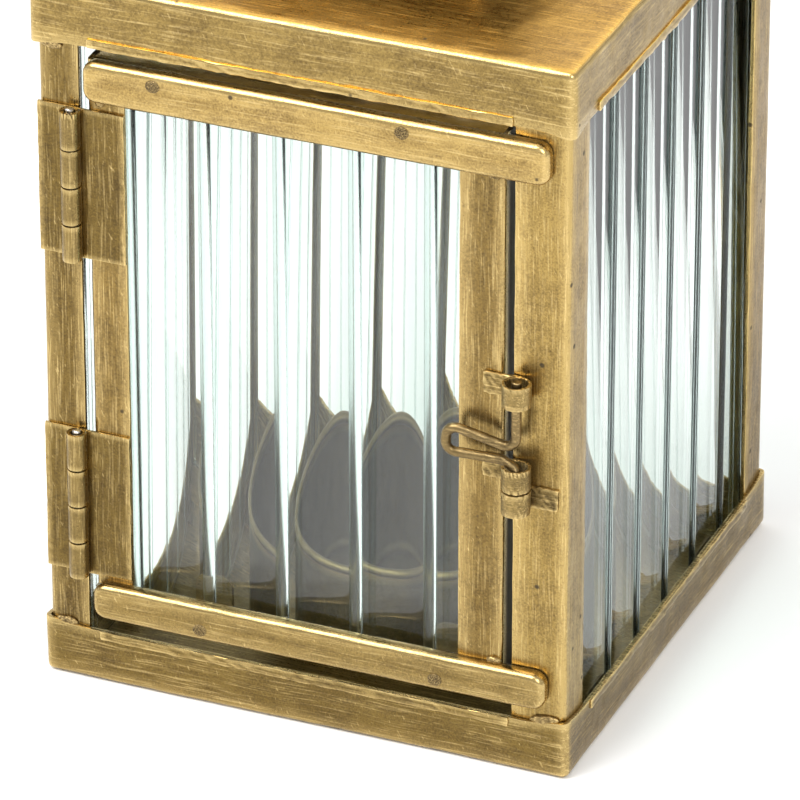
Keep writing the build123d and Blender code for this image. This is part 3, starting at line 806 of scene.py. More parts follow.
@dataclass(frozen=True)
class Brass(Finish):
    """Antique brass: brushed metal under an uneven brown tarnish that is rubbed away on its edges."""

    grain: Grain
    bright: Colour = (0.74, 0.55, 0.24)
    body: Colour = (0.34, 0.23, 0.075)
    tarnish: Colour = (0.12, 0.075, 0.022)
    dirt_and_shade: Colour = (0.030, 0.020, 0.009)
    roughness: float = 0.28
    grime: float = 0.62
    marks: float = 0.50
    # A multiplier that paints faces that look up lighter, as lit from above; white leaves them as they
    # are.
    top_light: Colour = (1.0, 1.0, 1.0)

    def lines(
        self, tree: FinishTree, place: Signal, along: float, across: float, detail: float
    ) -> Signal:
        """Brush marks that run the way of the grain.

        Args:
            tree: The finish's tree.
            place: The coordinates.
            along: Marks in a metre, lengthwise.
            across: Marks in a metre, across them.
            detail: Octaves.

        Returns:
            The marks' strength.
        """
        def run(axis: int) -> Signal:
            """Marks along one axis."""
            scale = [across] * 3
            scale[axis] = along
            return tree.noise(tree.stretched(place, scale), 1.0, detail, 0.6)

        if self.grain is not Grain.ALONG_LIPS:
            return run(self.grain.value)
        normal = tree.add("ShaderNodeTexCoord", {}, {}, "Normal")
        side = tree.add("ShaderNodeSeparateXYZ", {}, {"Vector": normal}, "X")
        turned = abs(side) > 0.6
        return run(Grain.ACROSS.value) * (1 - turned) + run(Grain.DEPTH.value) * turned

    def pits(self, tree: FinishTree, place: Signal) -> Signal:
        """Small scattered dark pits."""
        cells = {"Vector": place, "Scale": 150.0}
        near = tree.add("ShaderNodeTexVoronoi", {}, cells, "Distance")
        pick = tree.add("ShaderNodeTexVoronoi", {}, cells, "Color")
        chance = tree.add("ShaderNodeSeparateXYZ", {}, {"Vector": pick}, "X")
        return near.step(0.05, 0.11, 1.0, 0.0) * (chance > 0.72)

    def scratches(self, tree: FinishTree, place: Signal) -> Signal:
        """A few thin bright scratches on the slant."""
        leaning = tree.stretched(place, (1.0, 1.0, 1.0), (0.25, 0.42, 0.3))
        slant = tree.stretched(leaning, (2100.0, 2100.0, 75.0))
        return tree.noise(slant, 1.0, 1.0).step(0.68, 0.76)

    def with_top_light(self, tree: FinishTree, colour: Signal) -> Signal:
        """The colour multiplied by top_light on faces that look up: a painted lighter top, for the light
        that falls on it from above.

        Args:
            tree: The finish's tree.
            colour: The colour without it.

        Returns:
            The colour with its painted top light.
        """
        normal = tree.add("ShaderNodeTexCoord", {}, {}, "Normal")
        top_lit = tree.add("ShaderNodeSeparateXYZ", {}, {"Vector": normal}, "Z").step(0.6, 0.95)
        top_lit_colour = tree.add(
            "ShaderNodeMix",
            {"data_type": "RGBA", "blend_type": "MULTIPLY"},
            {0: 1.0, 6: colour, 7: (*self.top_light, 1.0)},
            2,
        )
        return tree.blend(top_lit, colour, top_lit_colour)

    def make(self, tree: FinishTree) -> bpy.types.Material:
        """Tarnish, brush marks, worn edges, dirt in the folds and hollows, painted shade in the door's
        gaps and a painted lighter top.
        """
        place = tree.place()
        loose = tree.unsteady(place, 55.0, 0.0011)
        fine = self.lines(tree, loose, 95.0, 2900.0, 2.0)
        broad = self.lines(tree, loose, 45.0, 950.0, 3.0)
        cloud = tree.noise(place, 62.0, 5.0, 0.6)
        mottle = tree.noise(loose, 420.0, 4.0, 0.62)
        wear = tree.attribute("wear")
        dirt_and_gap_shade = tree.attribute("dirt_and_gap_shade")
        grit = tree.noise(place, 2200.0, 2.0)
        dull = 0.18 + cloud.step(0.34, 0.74, 0.0, self.grime * 0.7) + (broad - 0.5) * 0.9
        dull = dull + (mottle - 0.5) * 0.8 + (grit - 0.5) * 1.7
        dull = (dull + dirt_and_gap_shade * 1.2 - wear * 0.9).held()
        shine = fine.step(0.50, 0.74) * self.marks + self.scratches(tree, place) * 0.35 + wear * 0.9
        colour = tree.blend(dull, self.body, self.tarnish)
        colour = tree.blend((shine * (1 - dull * 0.6)).held(), colour, self.bright)
        # Faces that look up are painted lighter, standing in for the light on the top.
        colour = self.with_top_light(tree, colour)
        # Dark pits, dirt in folds and the painted shade of the door's gaps pull the colour towards
        # dirt_and_shade.
        dark = (self.pits(tree, loose) * 0.85 + dirt_and_gap_shade.step(0.25, 0.8) * 0.8).held()
        colour = tree.blend(dark, colour, self.dirt_and_shade)
        rough = (self.roughness + dull * 0.14 + (fine - 0.5) * 0.22 - wear * 0.07 + dark * 0.3).held()
        hollows = tree.bump(tree.noise(place, 80.0, 2.0), 0.45, 1.1 * MM)
        brushed = tree.bump(broad * 0.6 + mottle * 0.5, 0.30, 0.16 * MM, hollows)
        brushed = tree.bump(fine - dark * 0.8, 0.28, 0.07 * MM, brushed)
        inputs = {
            "Base Color": colour,
            "Metallic": (1 - dull * 0.22 - dark * 0.5).held(),
            "Roughness": rough,
            "Normal": brushed,
        }
        return tree.show(tree.principled(inputs))


@dataclass(frozen=True)
class Steel(Finish):
    """Drawn steel wire with faint rings from its drawing and a few stained patches."""

    name: str = "drawn_wire"
    bright: Colour = (0.74, 0.73, 0.70)
    stain: Colour = (0.30, 0.27, 0.23)

    def make(self, tree: FinishTree) -> bpy.types.Material:
        """Rings from drawing, under stained patches."""
        place = tree.place()
        rings = tree.noise(tree.stretched(place, (300.0, 300.0, 5200.0)), 1.0, 2.0)
        stain = tree.noise(place, 500.0, 4.0).step(0.48, 0.66)
        inputs = {
            "Base Color": tree.blend(stain, self.bright, self.stain),
            "Metallic": 1.0,
            "Roughness": (0.24 + stain * 0.2 + (rings - 0.5) * 0.2).held(),
            "Normal": tree.bump(rings, 0.3, 0.05 * MM),
        }
        return tree.show(tree.principled(inputs))


@dataclass(frozen=True)
class CastGlass(Finish):
    """Clear cast glass, faintly green where it is thick, with a slow waviness and a few smears."""

    name: str = "clear_cast"
    clear: Colour = (0.90, 0.945, 0.925)
    green: Colour = (0.76, 0.93, 0.89)
    bend: float = 1.52

    def make(self, tree: FinishTree) -> bpy.types.Material:
        """Wavy tinted glass that lets the lamps' light straight through."""
        place = tree.place()
        swells = tree.noise(tree.stretched(place, (90.0, 90.0, 22.0)), 1.0, 2.0)
        smear = tree.noise(tree.stretched(place, (260.0, 260.0, 60.0)), 1.0, 3.0).step(0.58, 0.75)
        thick = tree.attribute("ridge")
        inputs = {
            "Base Color": tree.blend(thick, self.clear, self.green),
            "Transmission Weight": 1.0,
            "IOR": self.bend,
            "Roughness": smear * 0.02 + thick * 0.24,
            "Normal": tree.bump(swells, 0.12, 0.35 * MM),
        }
        glass = tree.principled(inputs)
        lamp_ray = tree.add("ShaderNodeLightPath", {}, {}, "Is Shadow Ray")
        open_way = tree.add("ShaderNodeBsdfTransparent", {}, {"Color": (0.86, 0.92, 0.89, 1.0)})
        return tree.show(tree.add("ShaderNodeMixShader", {}, {0: lamp_ray, 1: glass, 2: open_way}))


CAP_BRASS = Brass(
    "aged_cap",
    Grain.ALONG_LIPS,
    body=(0.30, 0.205, 0.067),
    tarnish=(0.11, 0.068, 0.02),
    # The cap's top is painted lighter and warmer for the light that falls on it.
    top_light=(2.05, 1.70, 1.02),
)
# The base's brass is a darker copy of the cap's: painted shade inside the lantern and at its foot.
SHADED_BASE_BRASS = Brass(
    "aged_base_in_painted_shade", Grain.ALONG_LIPS, body=(0.205, 0.137, 0.041), tarnish=(0.075, 0.046, 0.013)
)
POST_BRASS = Brass("aged_post", Grain.UPRIGHT, body=(0.36, 0.245, 0.078), tarnish=(0.13, 0.08, 0.023))
# A darker copy of the post brass for the front left post: painted shade on the side away from the light.
SHADED_POST_BRASS = Brass(
    "post_in_painted_shade", Grain.UPRIGHT, body=(0.18, 0.117, 0.035), tarnish=(0.065, 0.039, 0.0115), grime=0.6
)
STILE_BRASS = Brass("aged_stile", Grain.UPRIGHT, body=(0.245, 0.16, 0.051), tarnish=(0.09, 0.056, 0.017))
RAIL_BRASS = Brass("aged_rail", Grain.ACROSS, body=(0.42, 0.285, 0.096), tarnish=(0.135, 0.08, 0.023))
# A darker copy of the rail brass for the bottom rail: painted shade low on the door.
SHADED_RAIL_BRASS = Brass(
    "rail_in_painted_shade", Grain.ACROSS, body=(0.26, 0.175, 0.057), tarnish=(0.085, 0.053, 0.0155)
)
HINGE_BRASS = Brass(
    "aged_hinge", Grain.UPRIGHT, body=(0.17, 0.112, 0.033), tarnish=(0.07, 0.043, 0.0125), marks=0.4
)
LATCH_BRASS = Brass(
    "aged_latch",
    Grain.ACROSS,
    body=(0.23, 0.157, 0.054),
    tarnish=(0.07, 0.045, 0.014),
    grime=0.8,
    roughness=0.42,
)
WIRE_BRASS = Brass(
    "aged_wire",
    Grain.ACROSS,
    bright=(0.50, 0.36, 0.16),
    body=(0.105, 0.069, 0.027),
    tarnish=(0.036, 0.023, 0.009),
    grime=0.8,
    roughness=0.40,
)
SOLDER_BRASS = Brass(
    "aged_solder",
    Grain.ACROSS,
    body=(0.26, 0.18, 0.075),
    tarnish=(0.08, 0.05, 0.02),
    grime=0.9,
    roughness=0.5,
)
# Dark brass for tabs, clips and the washer; on the rivet heads the darkness is a painted shade of their
# slight sinking.
DARK_AND_RIVET_SHADE_BRASS = Brass(
    "aged_dark_and_rivet_shade",
    Grain.ACROSS,
    bright=(0.40, 0.29, 0.13),
    body=(0.16, 0.11, 0.045),
    tarnish=(0.07, 0.045, 0.02),
    grime=0.8,
    roughness=0.5,
)
# The cup's brass is darkened, its rim brightness too: painted shade inside the lantern.
SHADED_CUP_BRASS = Brass(
    "cup_in_painted_shade",
    Grain.ACROSS,
    bright=(0.36, 0.28, 0.12),
    body=(0.12, 0.09, 0.038),
    tarnish=(0.055, 0.042, 0.016),
    grime=0.8,
    marks=0.2,
    roughness=0.44,
)
RING_BRASS = Brass("aged_ring", Grain.ACROSS, grime=0.7, marks=0.3)
STEEL = Steel()
GLASS = CastGlass()


# ---- case ---------------------------------------------------------------------------------------------


@dataclass
class FoldedTray:
    """A square tray of folded sheet: the base, lips up, or the cap, lips down."""

    node: str
    lips_up: bool
    throat: float = 0.0
    metal: Sheet = TRAY_SHEET
    fold: float = 1.5 * MM
    hem_height: float = 2.1 * MM
    hem_proud: float = 0.45 * MM
    hem_end: float = 13.2 * MM
    corner_lift: float = 0.9 * MM
    grid: float = 3.0 * MM
    lip_grid: float = 2.2 * MM
    hem_grid: float = 1.7 * MM
    hem_seeds: tuple[int, int, int] = (11, 31, 51)
    finish: Brass = CAP_BRASS

    def build(self) -> None:
        """Makes the tray with its hems, and mounts it."""
        extent = Extent.of(self.node)
        inset = Vector((self.hem_proud, self.hem_proud, 0.0))
        low, high = extent.low + inset, extent.high - inset
        shell = self.skin(low, high)
        self.metal.work(shell)
        hems = [self.hem(low, high, side) for side in range(4)]
        shell.weld(hems)
        shell.mount("case", "brass_sheet", self.finish.material(), self.node)

    def skin(self, low: Vector, high: Vector) -> Workpiece:
        """The tray's outer skin, with rounded folds, cut to a grid.

        Args:
            low: Its lowest corner.
            high: Its highest corner.

        Returns:
            The open skin.
        """
        skin = Workpiece.block(f"{self.node}_shell", low, high)
        floor, rim = (low.z, high.z) if self.lips_up else (high.z, low.z)
        outward = 1.0 if self.lips_up else -1.0
        with skin.shaping():
            skin.remove_faces(lambda p, n: n.z * outward > 0.9)
            skin.round_edges(lambda p, d: abs(d.z) > 0.9 or abs(p.z - floor) < TOUCH, self.fold)
            for axis in (0, 1):
                skin.slice(axis, spread(low[axis], high[axis], self.grid))
            skin.slice(2, spread(low.z + self.fold, high.z, self.lip_grid))
            if self.throat:
                half = self.throat / 2
                for axis in (0, 1):
                    skin.slice(axis, (-half, half))
                skin.remove_faces(lambda p, n: max(abs(p.x), abs(p.y)) < half)
            lift = outward * self.corner_lift
            for x in (low.x, high.x):
                for y in (low.y, high.y):
                    corner = Vector((x, y, rim))
                    skin.push(lambda p, n: (p - corner).length < 1.2 * MM, (0.0, 0.0, lift), 8 * MM)
        return skin

    def hem(self, low: Vector, high: Vector, side: int) -> Workpiece:
        """The turned-over edge along one lip, rough where the sheet was cut.

        Args:
            low: The skin's lowest corner.
            high: The skin's highest corner.
            side: 0 for the front, then on round the tray.

        Returns:
            The hem strip.
        """
        rim = high.z if self.lips_up else low.z + self.hem_height
        start = (low.x + self.hem_end, low.y - self.hem_proud, rim - self.hem_height)
        end = (high.x - self.hem_end, low.y + 0.25 * MM, rim)
        strip = Workpiece.block(f"{self.node}_hem_{side}", start, end)
        middle = (start[1] + end[1]) / 2
        cut, top, face = (seed + side for seed in self.hem_seeds)
        with strip.shaping():
            strip.slice(0, spread(start[0], end[0], self.hem_grid))
            strip.slice(2, [start[2] + self.hem_height / 2])
            strip.jitter(lambda p, n: abs(p.z - start[2]) < TOUCH, 0.20 * MM, cut)
            strip.jitter(lambda p, n: abs(p.z - rim) < TOUCH, 0.12 * MM, top)
            strip.jitter(lambda p, n: p.y < middle, 0.12 * MM, face)
        strip.wave(0.16 * MM, 14 * MM)
        strip.soften(0.35 * MM, 2, 50.0)
        strip.turn_about((0.0, 0.0, 0.0), "Z", side * math.pi / 2)
        return strip


@dataclass
class FoldedAngle:
    """An upright angle of folded sheet: a corner post, or a stile of the door."""

    node: str
    right: bool
    back: bool
    body: str = "case"
    metal: Sheet = POST_SHEET
    fold: float = 1.4 * MM
    gap_shade_depth: float = 1.3 * MM
    seed: int = 7
    finish: Brass = STILE_BRASS

    def build(self) -> None:
        """Makes the angle and mounts it."""
        extent = Extent.of(self.node)
        low, high = extent.low, extent.high
        aside = 1.0 if self.right else -1.0
        rear = 1.0 if self.back else -1.0
        edge = Vector((high.x if self.right else low.x, high.y if self.back else low.y, 0.0))
        angle = Workpiece.block(f"{self.node}_sheet", low, high)
        with angle.shaping():
            angle.remove_faces(lambda p, n: n.x * aside < 0.9 and n.y * rear < 0.9)
            angle.round_edges(
                lambda p, d: abs(d.z) > 0.9 and abs(p.x - edge.x) + abs(p.y - edge.y) < 2 * NEAR,
                self.fold,
            )
            for axis in (0, 1):
                angle.slice(axis, spread(low[axis] + self.fold, high[axis], 2.6 * MM))
            angle.slice(2, spread(low.z, high.z, 4.0 * MM))
            angle.jitter(lambda p, n: self.is_cut_edge(p, low, high, edge), 0.10 * MM, self.seed)
        self.metal.work(angle)
        angle.mount(self.body, "brass_sheet", self.finish.material(), self.node)
        # On the door's stiles the return flange is painted dark as the shade in the gap between stile
        # and post.
        if self.body == "door":
            angle.paint_shade(lambda p: p.y > low.y + self.gap_shade_depth, 1.0)

    @staticmethod
    def is_cut_edge(place: Vector, low: Vector, high: Vector, edge: Vector) -> bool:
        """Says if a place lies on one of the angle's two upright cut edges."""
        far_x = low.x + high.x - edge.x
        far_y = low.y + high.y - edge.y
        return abs(place.x - far_x) < NEAR or abs(place.y - far_y) < NEAR


@dataclass
class FlutedPane:
    """A cast pane: flat inside, with half-round ridges and hollow flutes outside."""

    node: str
    facing: Facing
    ridge_at: float
    body: str = "case"
    ridge_radius: float = 1.35 * MM
    pitch: float = 16.8 * MM
    flute_depth: float = 0.5 * MM
    edge: float = 0.25 * MM
    flute_steps: int = 26
    ridge_steps: int = 20

    def build(self) -> None:
        """Draws the section, pulls it up to its height, turns it to its side and mounts it."""
        extent = Extent.of(self.node)
        turn = math.radians(self.facing.value)
        lengthwise = 0 if self.facing in (Facing.FRONT, Facing.BACK) else 1
        start, end = extent.low[lengthwise], extent.high[lengthwise]
        if self.facing in (Facing.BACK, Facing.LEFT):
            start, end = -end, -start
        across = 1 - lengthwise
        inner = min(abs(extent.low[across]), abs(extent.high[across]))
        thickness = extent.size[across]
        pane = Workpiece.block(f"{self.node}_pane", (start, -thickness, 0.0), (end, 0.0, 1.0 * MM))
        with pane.shaping():
            self.draw_section(start, end, thickness - self.ridge_radius)
            bpy.ops.mesh.extrude_region_move(
                TRANSFORM_OT_translate={"value": (0.0, 0.0, extent.size.z)}
            )
            pane.face_outwards()
            pane.round_edges(lambda p, d: abs(d.z) < 0.1 and p.y > -TOUCH, self.edge, 2)
        pane.object.rotation_euler.z = turn
        pane.object.location = (inner * math.sin(turn), -inner * math.cos(turn), extent.low.z)
        self.mark_ridges(pane, thickness)
        pane.settle()
        pane.mount(self.body, "fluted_glass", GLASS.material(), self.node)

    def draw_section(self, start: float, end: float, ground: float) -> None:
        """Draws the pane's outline with arcs, level at Z = 0, and fills it, in edit mode.

        Args:
            start: Where the pane begins, along X.
            end: Where it ends.
            ground: Its thickness at the foot of a ridge.
        """
        half = self.pitch / 2
        radius = (half ** 2 + self.flute_depth ** 2) / (2 * self.flute_depth)
        reach = math.asin(half / radius)
        foot = 2 * math.asin(self.ridge_radius / (2 * radius))
        centre_y = -ground + self.flute_depth - radius
        first = math.floor((start - self.ridge_at) / self.pitch)
        last = math.floor((end - self.ridge_at) / self.pitch)
        quarter = math.pi / 2
        for k in range(first, last + 1):
            middle = self.ridge_at + (k + 0.5) * self.pitch
            left = math.acos((start - middle) / radius) if k == first else quarter + reach - foot
            right = math.acos((end - middle) / radius) if k == last else quarter - reach + foot
            if k == first:
                self.plant_point((start, centre_y + radius * math.sin(left), 0.0))
            Workpiece.sweep((middle, centre_y, 0.0), UP, right - left, self.flute_steps)
            edge = Vector((middle + radius * math.cos(right), centre_y + radius * math.sin(right), 0.0))
            if k < last:
                ridge = Vector((self.ridge_at + (k + 1) * self.pitch, -ground, 0.0))
                lean = math.atan2(edge.y - ridge.y, edge.x - ridge.x)
                Workpiece.sweep(ridge, UP, 3 * math.pi - 2 * lean, self.ridge_steps)
        bpy.ops.mesh.extrude_region_move(TRANSFORM_OT_translate={"value": (0.0, -edge.y, 0.0)})
        bpy.ops.mesh.extrude_region_move(TRANSFORM_OT_translate={"value": (start - end, 0.0, 0.0)})
        bpy.ops.mesh.select_all(action="SELECT")
        bpy.ops.mesh.edge_face_add()

    @staticmethod
    def plant_point(place: Sequence[float]) -> None:
        """Deletes all of the mesh but one vertex, and puts that at a place, in edit mode."""
        mesh = bmesh.from_edit_mesh(bpy.context.active_object.data)
        bpy.ops.mesh.select_mode(type="VERT")
        bpy.ops.mesh.select_all(action="SELECT")
        mesh.verts.ensure_lookup_table()
        mesh.verts[0].select_set(False)
        mesh.select_flush_mode()
        bpy.ops.mesh.delete(type="VERT")
        bpy.ops.mesh.select_all(action="SELECT")
        mesh = bmesh.from_edit_mesh(bpy.context.active_object.data)
        mesh.verts.ensure_lookup_table()
        bpy.ops.transform.translate(value=Vector(place) - mesh.verts[0].co)

    def mark_ridges(self, pane: Workpiece, thickness: float) -> None:
        """Writes 1 on the ridges' vertices, as the attribute ridge, for the greener glass there.

        Args:
            pane: The pane, still lying along X.
            thickness: Its thickness over the ridges.
        """
        mesh = pane.object.data
        ridge = mesh.attributes.new("ridge", "FLOAT", "POINT")
        values = []
        for vertex in mesh.vertices:
            beside = (vertex.co.x - self.ridge_at) / self.pitch
            off = abs(beside - round(beside)) * self.pitch
            outer = vertex.co.y < -thickness + 1.5 * self.ridge_radius
            values.append(1.0 if outer and off < self.ridge_radius else 0.0)
        ridge.data.foreach_set("value", values)


@dataclass
class CandleCup:
    """A straight-sided cup of spun sheet with a rolled rim, soldered to the tray floor."""

    node: str = "candle_cup"
    sheet: float = 0.8 * MM
    rim_wire: float = 1.05 * MM
    corner: float = 2.5 * MM
    floor_ring: float = 7.0 * MM
    floor_rise: float = 0.5 * MM

    def build(self) -> None:
        """Makes the cup with its rim and mounts it."""
        extent = Extent.of(self.node)
        rim_z = extent.high.z - self.rim_wire
        middle = extent.centre
        radius = extent.size.x / 2 - self.rim_wire
        foot = (middle.x, middle.y, extent.low.z)
        cup = Workpiece.rod("candle_cup_shell", foot, (middle.x, middle.y, rim_z), radius, 96)
        with cup.shaping():
            cup.remove_faces(lambda p, n: n.z > 0.9)
            cup.round_edges(lambda p, d: abs(p.z - extent.low.z) < TOUCH, self.corner)
            cup.pick(Element.FACE, lambda p, n: n.z < -0.99)
            for ring in range(3):
                bpy.ops.mesh.inset(thickness=self.floor_ring)
                rise = self.floor_rise if ring == 0 else 0.0
                bpy.ops.transform.translate(value=(0.0, 0.0, rise))
            cup.slice(2, spread(extent.low.z + self.corner, rim_z, 3.0 * MM))
        cup.plate(self.sheet)
        wall = radius - self.sheet / 2
        rim = Workpiece.hoop("candle_cup_rim", (middle.x, middle.y, rim_z), wall, self.rim_wire)
        cup.weld([rim])
        cup.wave(0.35 * MM, 18 * MM)
        cup.mount("case", "brass_sheet", SHADED_CUP_BRASS.material(), self.node)


@dataclass
class Chimney:
    """The vented collar, the hipped roof over it, and the eye that carries the ring."""

    sheet: float = 0.8 * MM
    vent_radius: float = 3.0 * MM
    vent_pitch: float = 13.0 * MM
    vents: int = 3
    eave_drop: float = 3.0 * MM
    top_half: float = 5.0 * MM
    hip_round: float = 0.9 * MM
    eye_radius: float = 4.2 * MM
    eye_hole: float = 2.3 * MM
    eye_half: float = 1.2 * MM
    foot_height: float = 1.2 * MM
    foot_radius: float = 4.6 * MM
    stem_radius: float = 1.6 * MM
    head_radius: float = 2.6 * MM
    head_height: float = 1.0 * MM

    def build(self) -> None:
        """Makes the collar, the roof and the eye, and gives the eye's washer its finish."""
        self.collar()
        self.roof()
        self.eye()
        dress_node("eye_washer", DARK_AND_RIVET_SHADE_BRASS.material())

    def collar(self) -> None:
        """The square tube with round vents in each side."""
        extent = Extent.of("chimney_collar")
        low, high = extent.low, extent.high
        tube = Workpiece.block("chimney_collar_sheet", low, high)
        with tube.shaping():
            tube.remove_faces(lambda p, n: abs(n.z) > 0.9)
            tube.round_edges(lambda p, d: abs(d.z) > 0.9, 1.4 * MM)
            tube.slice(2, spread(low.z, high.z, 3.0 * MM))
            for axis in (0, 1):
                tube.slice(axis, spread(low[axis] + 2 * MM, high[axis], 4.0 * MM))
        tube.wave(0.25 * MM, 20 * MM)
        tube.plate(self.sheet)
        roof = Extent.of("chimney_roof")
        vent_z = (low.z + roof.low.z) / 2
        for k in range(self.vents):
            along = (k - (self.vents - 1) / 2) * self.vent_pitch
            for start, end in (
                ((along, low.y - 3 * MM, vent_z), (along, high.y + 3 * MM, vent_z)),
                ((low.x - 3 * MM, along, vent_z), (high.x + 3 * MM, along, vent_z)),
            ):
                tube.cut_out(Workpiece.rod("vent_punch", start, end, self.vent_radius, 32))
        tube.soften(0.15 * MM)
        tube.mount("case", "brass_sheet", CAP_BRASS.material(), "chimney_collar")

    def roof(self) -> None:
        """The low pyramid of folded sheet with a turned-down drip edge."""
        extent = Extent.of("chimney_roof")
        low, high = extent.low, extent.high
        eave = low.z + self.eave_drop
        top_half = self.top_half
        roof = Workpiece.block("chimney_roof_sheet", low, (high.x, high.y, eave))
        with roof.shaping():
            roof.remove_faces(lambda p, n: n.z < -0.9)
            roof.pick(Element.FACE, lambda p, n: n.z > 0.9)
            for share in (0.75, 0.5, 0.25, 0.0):
                half = top_half + (high.x - top_half) * share
                z = high.z + (eave - high.z) * share
                bpy.ops.mesh.extrude_region_move()
                scale = half / (top_half + (high.x - top_half) * (share + 0.25))
                bpy.ops.transform.resize(value=(scale, scale, 1.0), center_override=(0.0, 0.0, z))
                bpy.ops.transform.translate(value=(0.0, 0.0, (high.z - eave) / 4))
            roof.round_edges(lambda p, d: self.is_hip(p, d), self.hip_round, 3)
            for axis in (0, 1):
                roof.slice(axis, spread(low[axis] + 2 * MM, high[axis], 4.0 * MM))
        roof.wave(0.30 * MM, 16 * MM)
        roof.plate(self.sheet)
        roof.soften(0.18 * MM)
        roof.mount("case", "brass_sheet", CAP_BRASS.material(), "chimney_roof")

    @staticmethod
    def is_hip(place: Vector, direction: Vector) -> bool:
        """Says if an edge is a corner, a hip or the eave, and not a level line on a slope."""
        return abs(abs(place.x) - abs(place.y)) < 0.3 * MM and abs(direction.x * direction.y) > 0.2 or (
            abs(direction.z) > 0.95
        )

    def eye(self) -> None:
        """The eye: a flat ring on a round foot, with its stem through the roof."""
        extent = Extent.of("ring_eye")
        roof = Extent.of("chimney_roof")
        foot_top = roof.high.z + self.foot_height
        half = self.eye_half
        hole = extent.high.z - self.eye_radius
        neck_top = hole - 2.9 * MM

        def post(name: str, bottom: float, top: float, radius: float, sides: int) -> Workpiece:
            """An upright round piece on the lantern's middle line."""
            return Workpiece.rod(name, (0.0, 0.0, bottom), (0.0, 0.0, top), radius, sides)

        ends = ((-half, 0.0, hole), (half, 0.0, hole))
        plate = Workpiece.rod("ring_eye_plate", *ends, self.eye_radius, 48)
        ends = ((-4 * half, 0.0, hole), (4 * half, 0.0, hole))
        plate.cut_out(Workpiece.rod("eye_punch", *ends, self.eye_hole, 40))
        neck = Workpiece.block(
            "ring_eye_neck", (-half, -3.0 * MM, foot_top - 0.4 * MM), (half, 3.0 * MM, neck_top)
        )
        foot = post("ring_eye_foot", roof.high.z - 0.05 * MM, foot_top, self.foot_radius, 48)
        stem = post("ring_eye_stem", extent.low.z, roof.high.z, self.stem_radius, 24)
        head_top = extent.low.z + self.head_height
        head = post("ring_eye_head", extent.low.z, head_top, self.head_radius, 24)
        plate.weld([neck, foot, stem, head])
        plate.soften(0.3 * MM, 3, 50.0)
        plate.mount("case", "brass_sheet", POST_BRASS.material(), "ring_eye")


@dataclass
class CarryRing:
    """The loose ring, bent from wire with a filed joint, lying back on the roof."""

    node: str = "ring_handle"
    wire: float = 1.5 * MM

    def build(self) -> None:
        """Makes the ring and mounts it."""
        extent = Extent.of(self.node)
        radius = extent.size.x / 2 - self.wire
        rise = extent.size.z - 2 * self.wire
        tilt = -math.asin(rise / (2 * radius))
        ring = Workpiece.hoop("ring_handle_wire", extent.centre, radius, self.wire * 0.98, tilt, 128)
        ring.wave(0.16 * MM, 5 * MM)
        joint = Workpiece.lump(
            "ring_handle_joint",
            extent.centre + Vector((0.0, radius * math.cos(tilt), radius * math.sin(tilt))),
            (1.1 * MM, self.wire * 1.06, self.wire * 1.06),
        )
        ring.weld([joint])
        ring.mount("ring", "brass_wire", RING_BRASS.material(), self.node)


def dress_node(node: str, material: bpy.types.Material) -> None:
    """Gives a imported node, whose shape stays as it is, its finish.

    Args:
        node: The node's name.
        material: Its finish.
    """
    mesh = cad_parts[node].data
    mesh.materials.clear()
    mesh.materials.append(material)
    LOG.info("%s keeps its packed shape", node)


# ---- door ---------------------------------------------------------------------------------------------


@dataclass
class DoorRail:
    """A level rail of the door: a shallow open-backed channel with round ends."""

    node: str
    metal: Sheet = RAIL_SHEET
    end_radius: float = 2.8 * MM
    edge: float = 1.5 * MM
    finish: Brass = RAIL_BRASS
    flange: Union[Sequence[float], None] = None

    def build(self) -> None:
        """Makes the rail and mounts it."""
        extent = Extent.of(self.node)
        low, high = extent.low, extent.high
        rail = Workpiece.block(f"{self.node}_channel", low, high)
        with rail.shaping():
            rail.round_edges(lambda p, d: abs(d.y) > 0.9, self.end_radius, 6)
            rail.remove_faces(lambda p, n: n.y > 0.9)
            rail.round_edges(lambda p, d: abs(p.y - low.y) < TOUCH, self.edge)
            rail.slice(0, spread(low.x + self.end_radius, high.x - self.end_radius, 3.0 * MM))
            rail.slice(2, spread(low.z + self.edge, high.z - self.edge, 2.6 * MM))
        self.metal.work(rail)
        if self.flange:
            start, end, back = self.flange
            sheet = self.metal.thickness
            strip = Workpiece.block(
                f"{self.node}_flange",
                (start, low.y + sheet, high.z - 2 * sheet),
                (end, back, high.z - sheet * 0.8),
            )
            strip.soften(0.2 * MM)
            rail.weld([strip])
        rail.mount("door", "brass_sheet", self.finish.material(), self.node)


@dataclass
class ClipRivets:
    """The four rivets through the rails that hold the glass clips, hammered flat, their dark colour a
    painted shade of their slight sinking.
    """

    node: str = "door_clip_rivets"
    top: Sequence[float] = (-31.6 * MM, 23.5 * MM)
    bottom: Sequence[float] = (-22.7 * MM, 31.0 * MM)
    top_z: float = 145.3 * MM
    bottom_z: float = 19.1 * MM
    head: float = 1.6 * MM
    shank: float = 0.75 * MM
    head_rise: float = 0.42 * MM
    roughness: float = 0.10 * MM

    def build(self) -> None:
        """Makes the rivets as one piece and mounts it."""
        extent = Extent.of(self.node)
        places = [(x, self.top_z) for x in self.top] + [(x, self.bottom_z) for x in self.bottom]
        rivets = []
        for k, (x, z) in enumerate(places):
            face = extent.low.y + 0.45 * MM
            size = (self.head, self.head_rise, self.head * 0.9)
            head = Workpiece.lump(f"rivet_head_{k}", (x, face, z), size)
            with head.shaping():
                head.jitter(lambda p, n: n.y < 0.0, self.roughness, 3 + k)
            rivets.append(head)
            back = extent.high.y - 0.1 * MM
            ends = ((x, face, z), (x, back, z))
            rivets.append(Workpiece.rod(f"rivet_shank_{k}", *ends, self.shank, 20))
        first = rivets[0]
        first.weld(rivets[1:])
        first.mount("door", "brass_dark", DARK_AND_RIVET_SHADE_BRASS.material(), self.node)


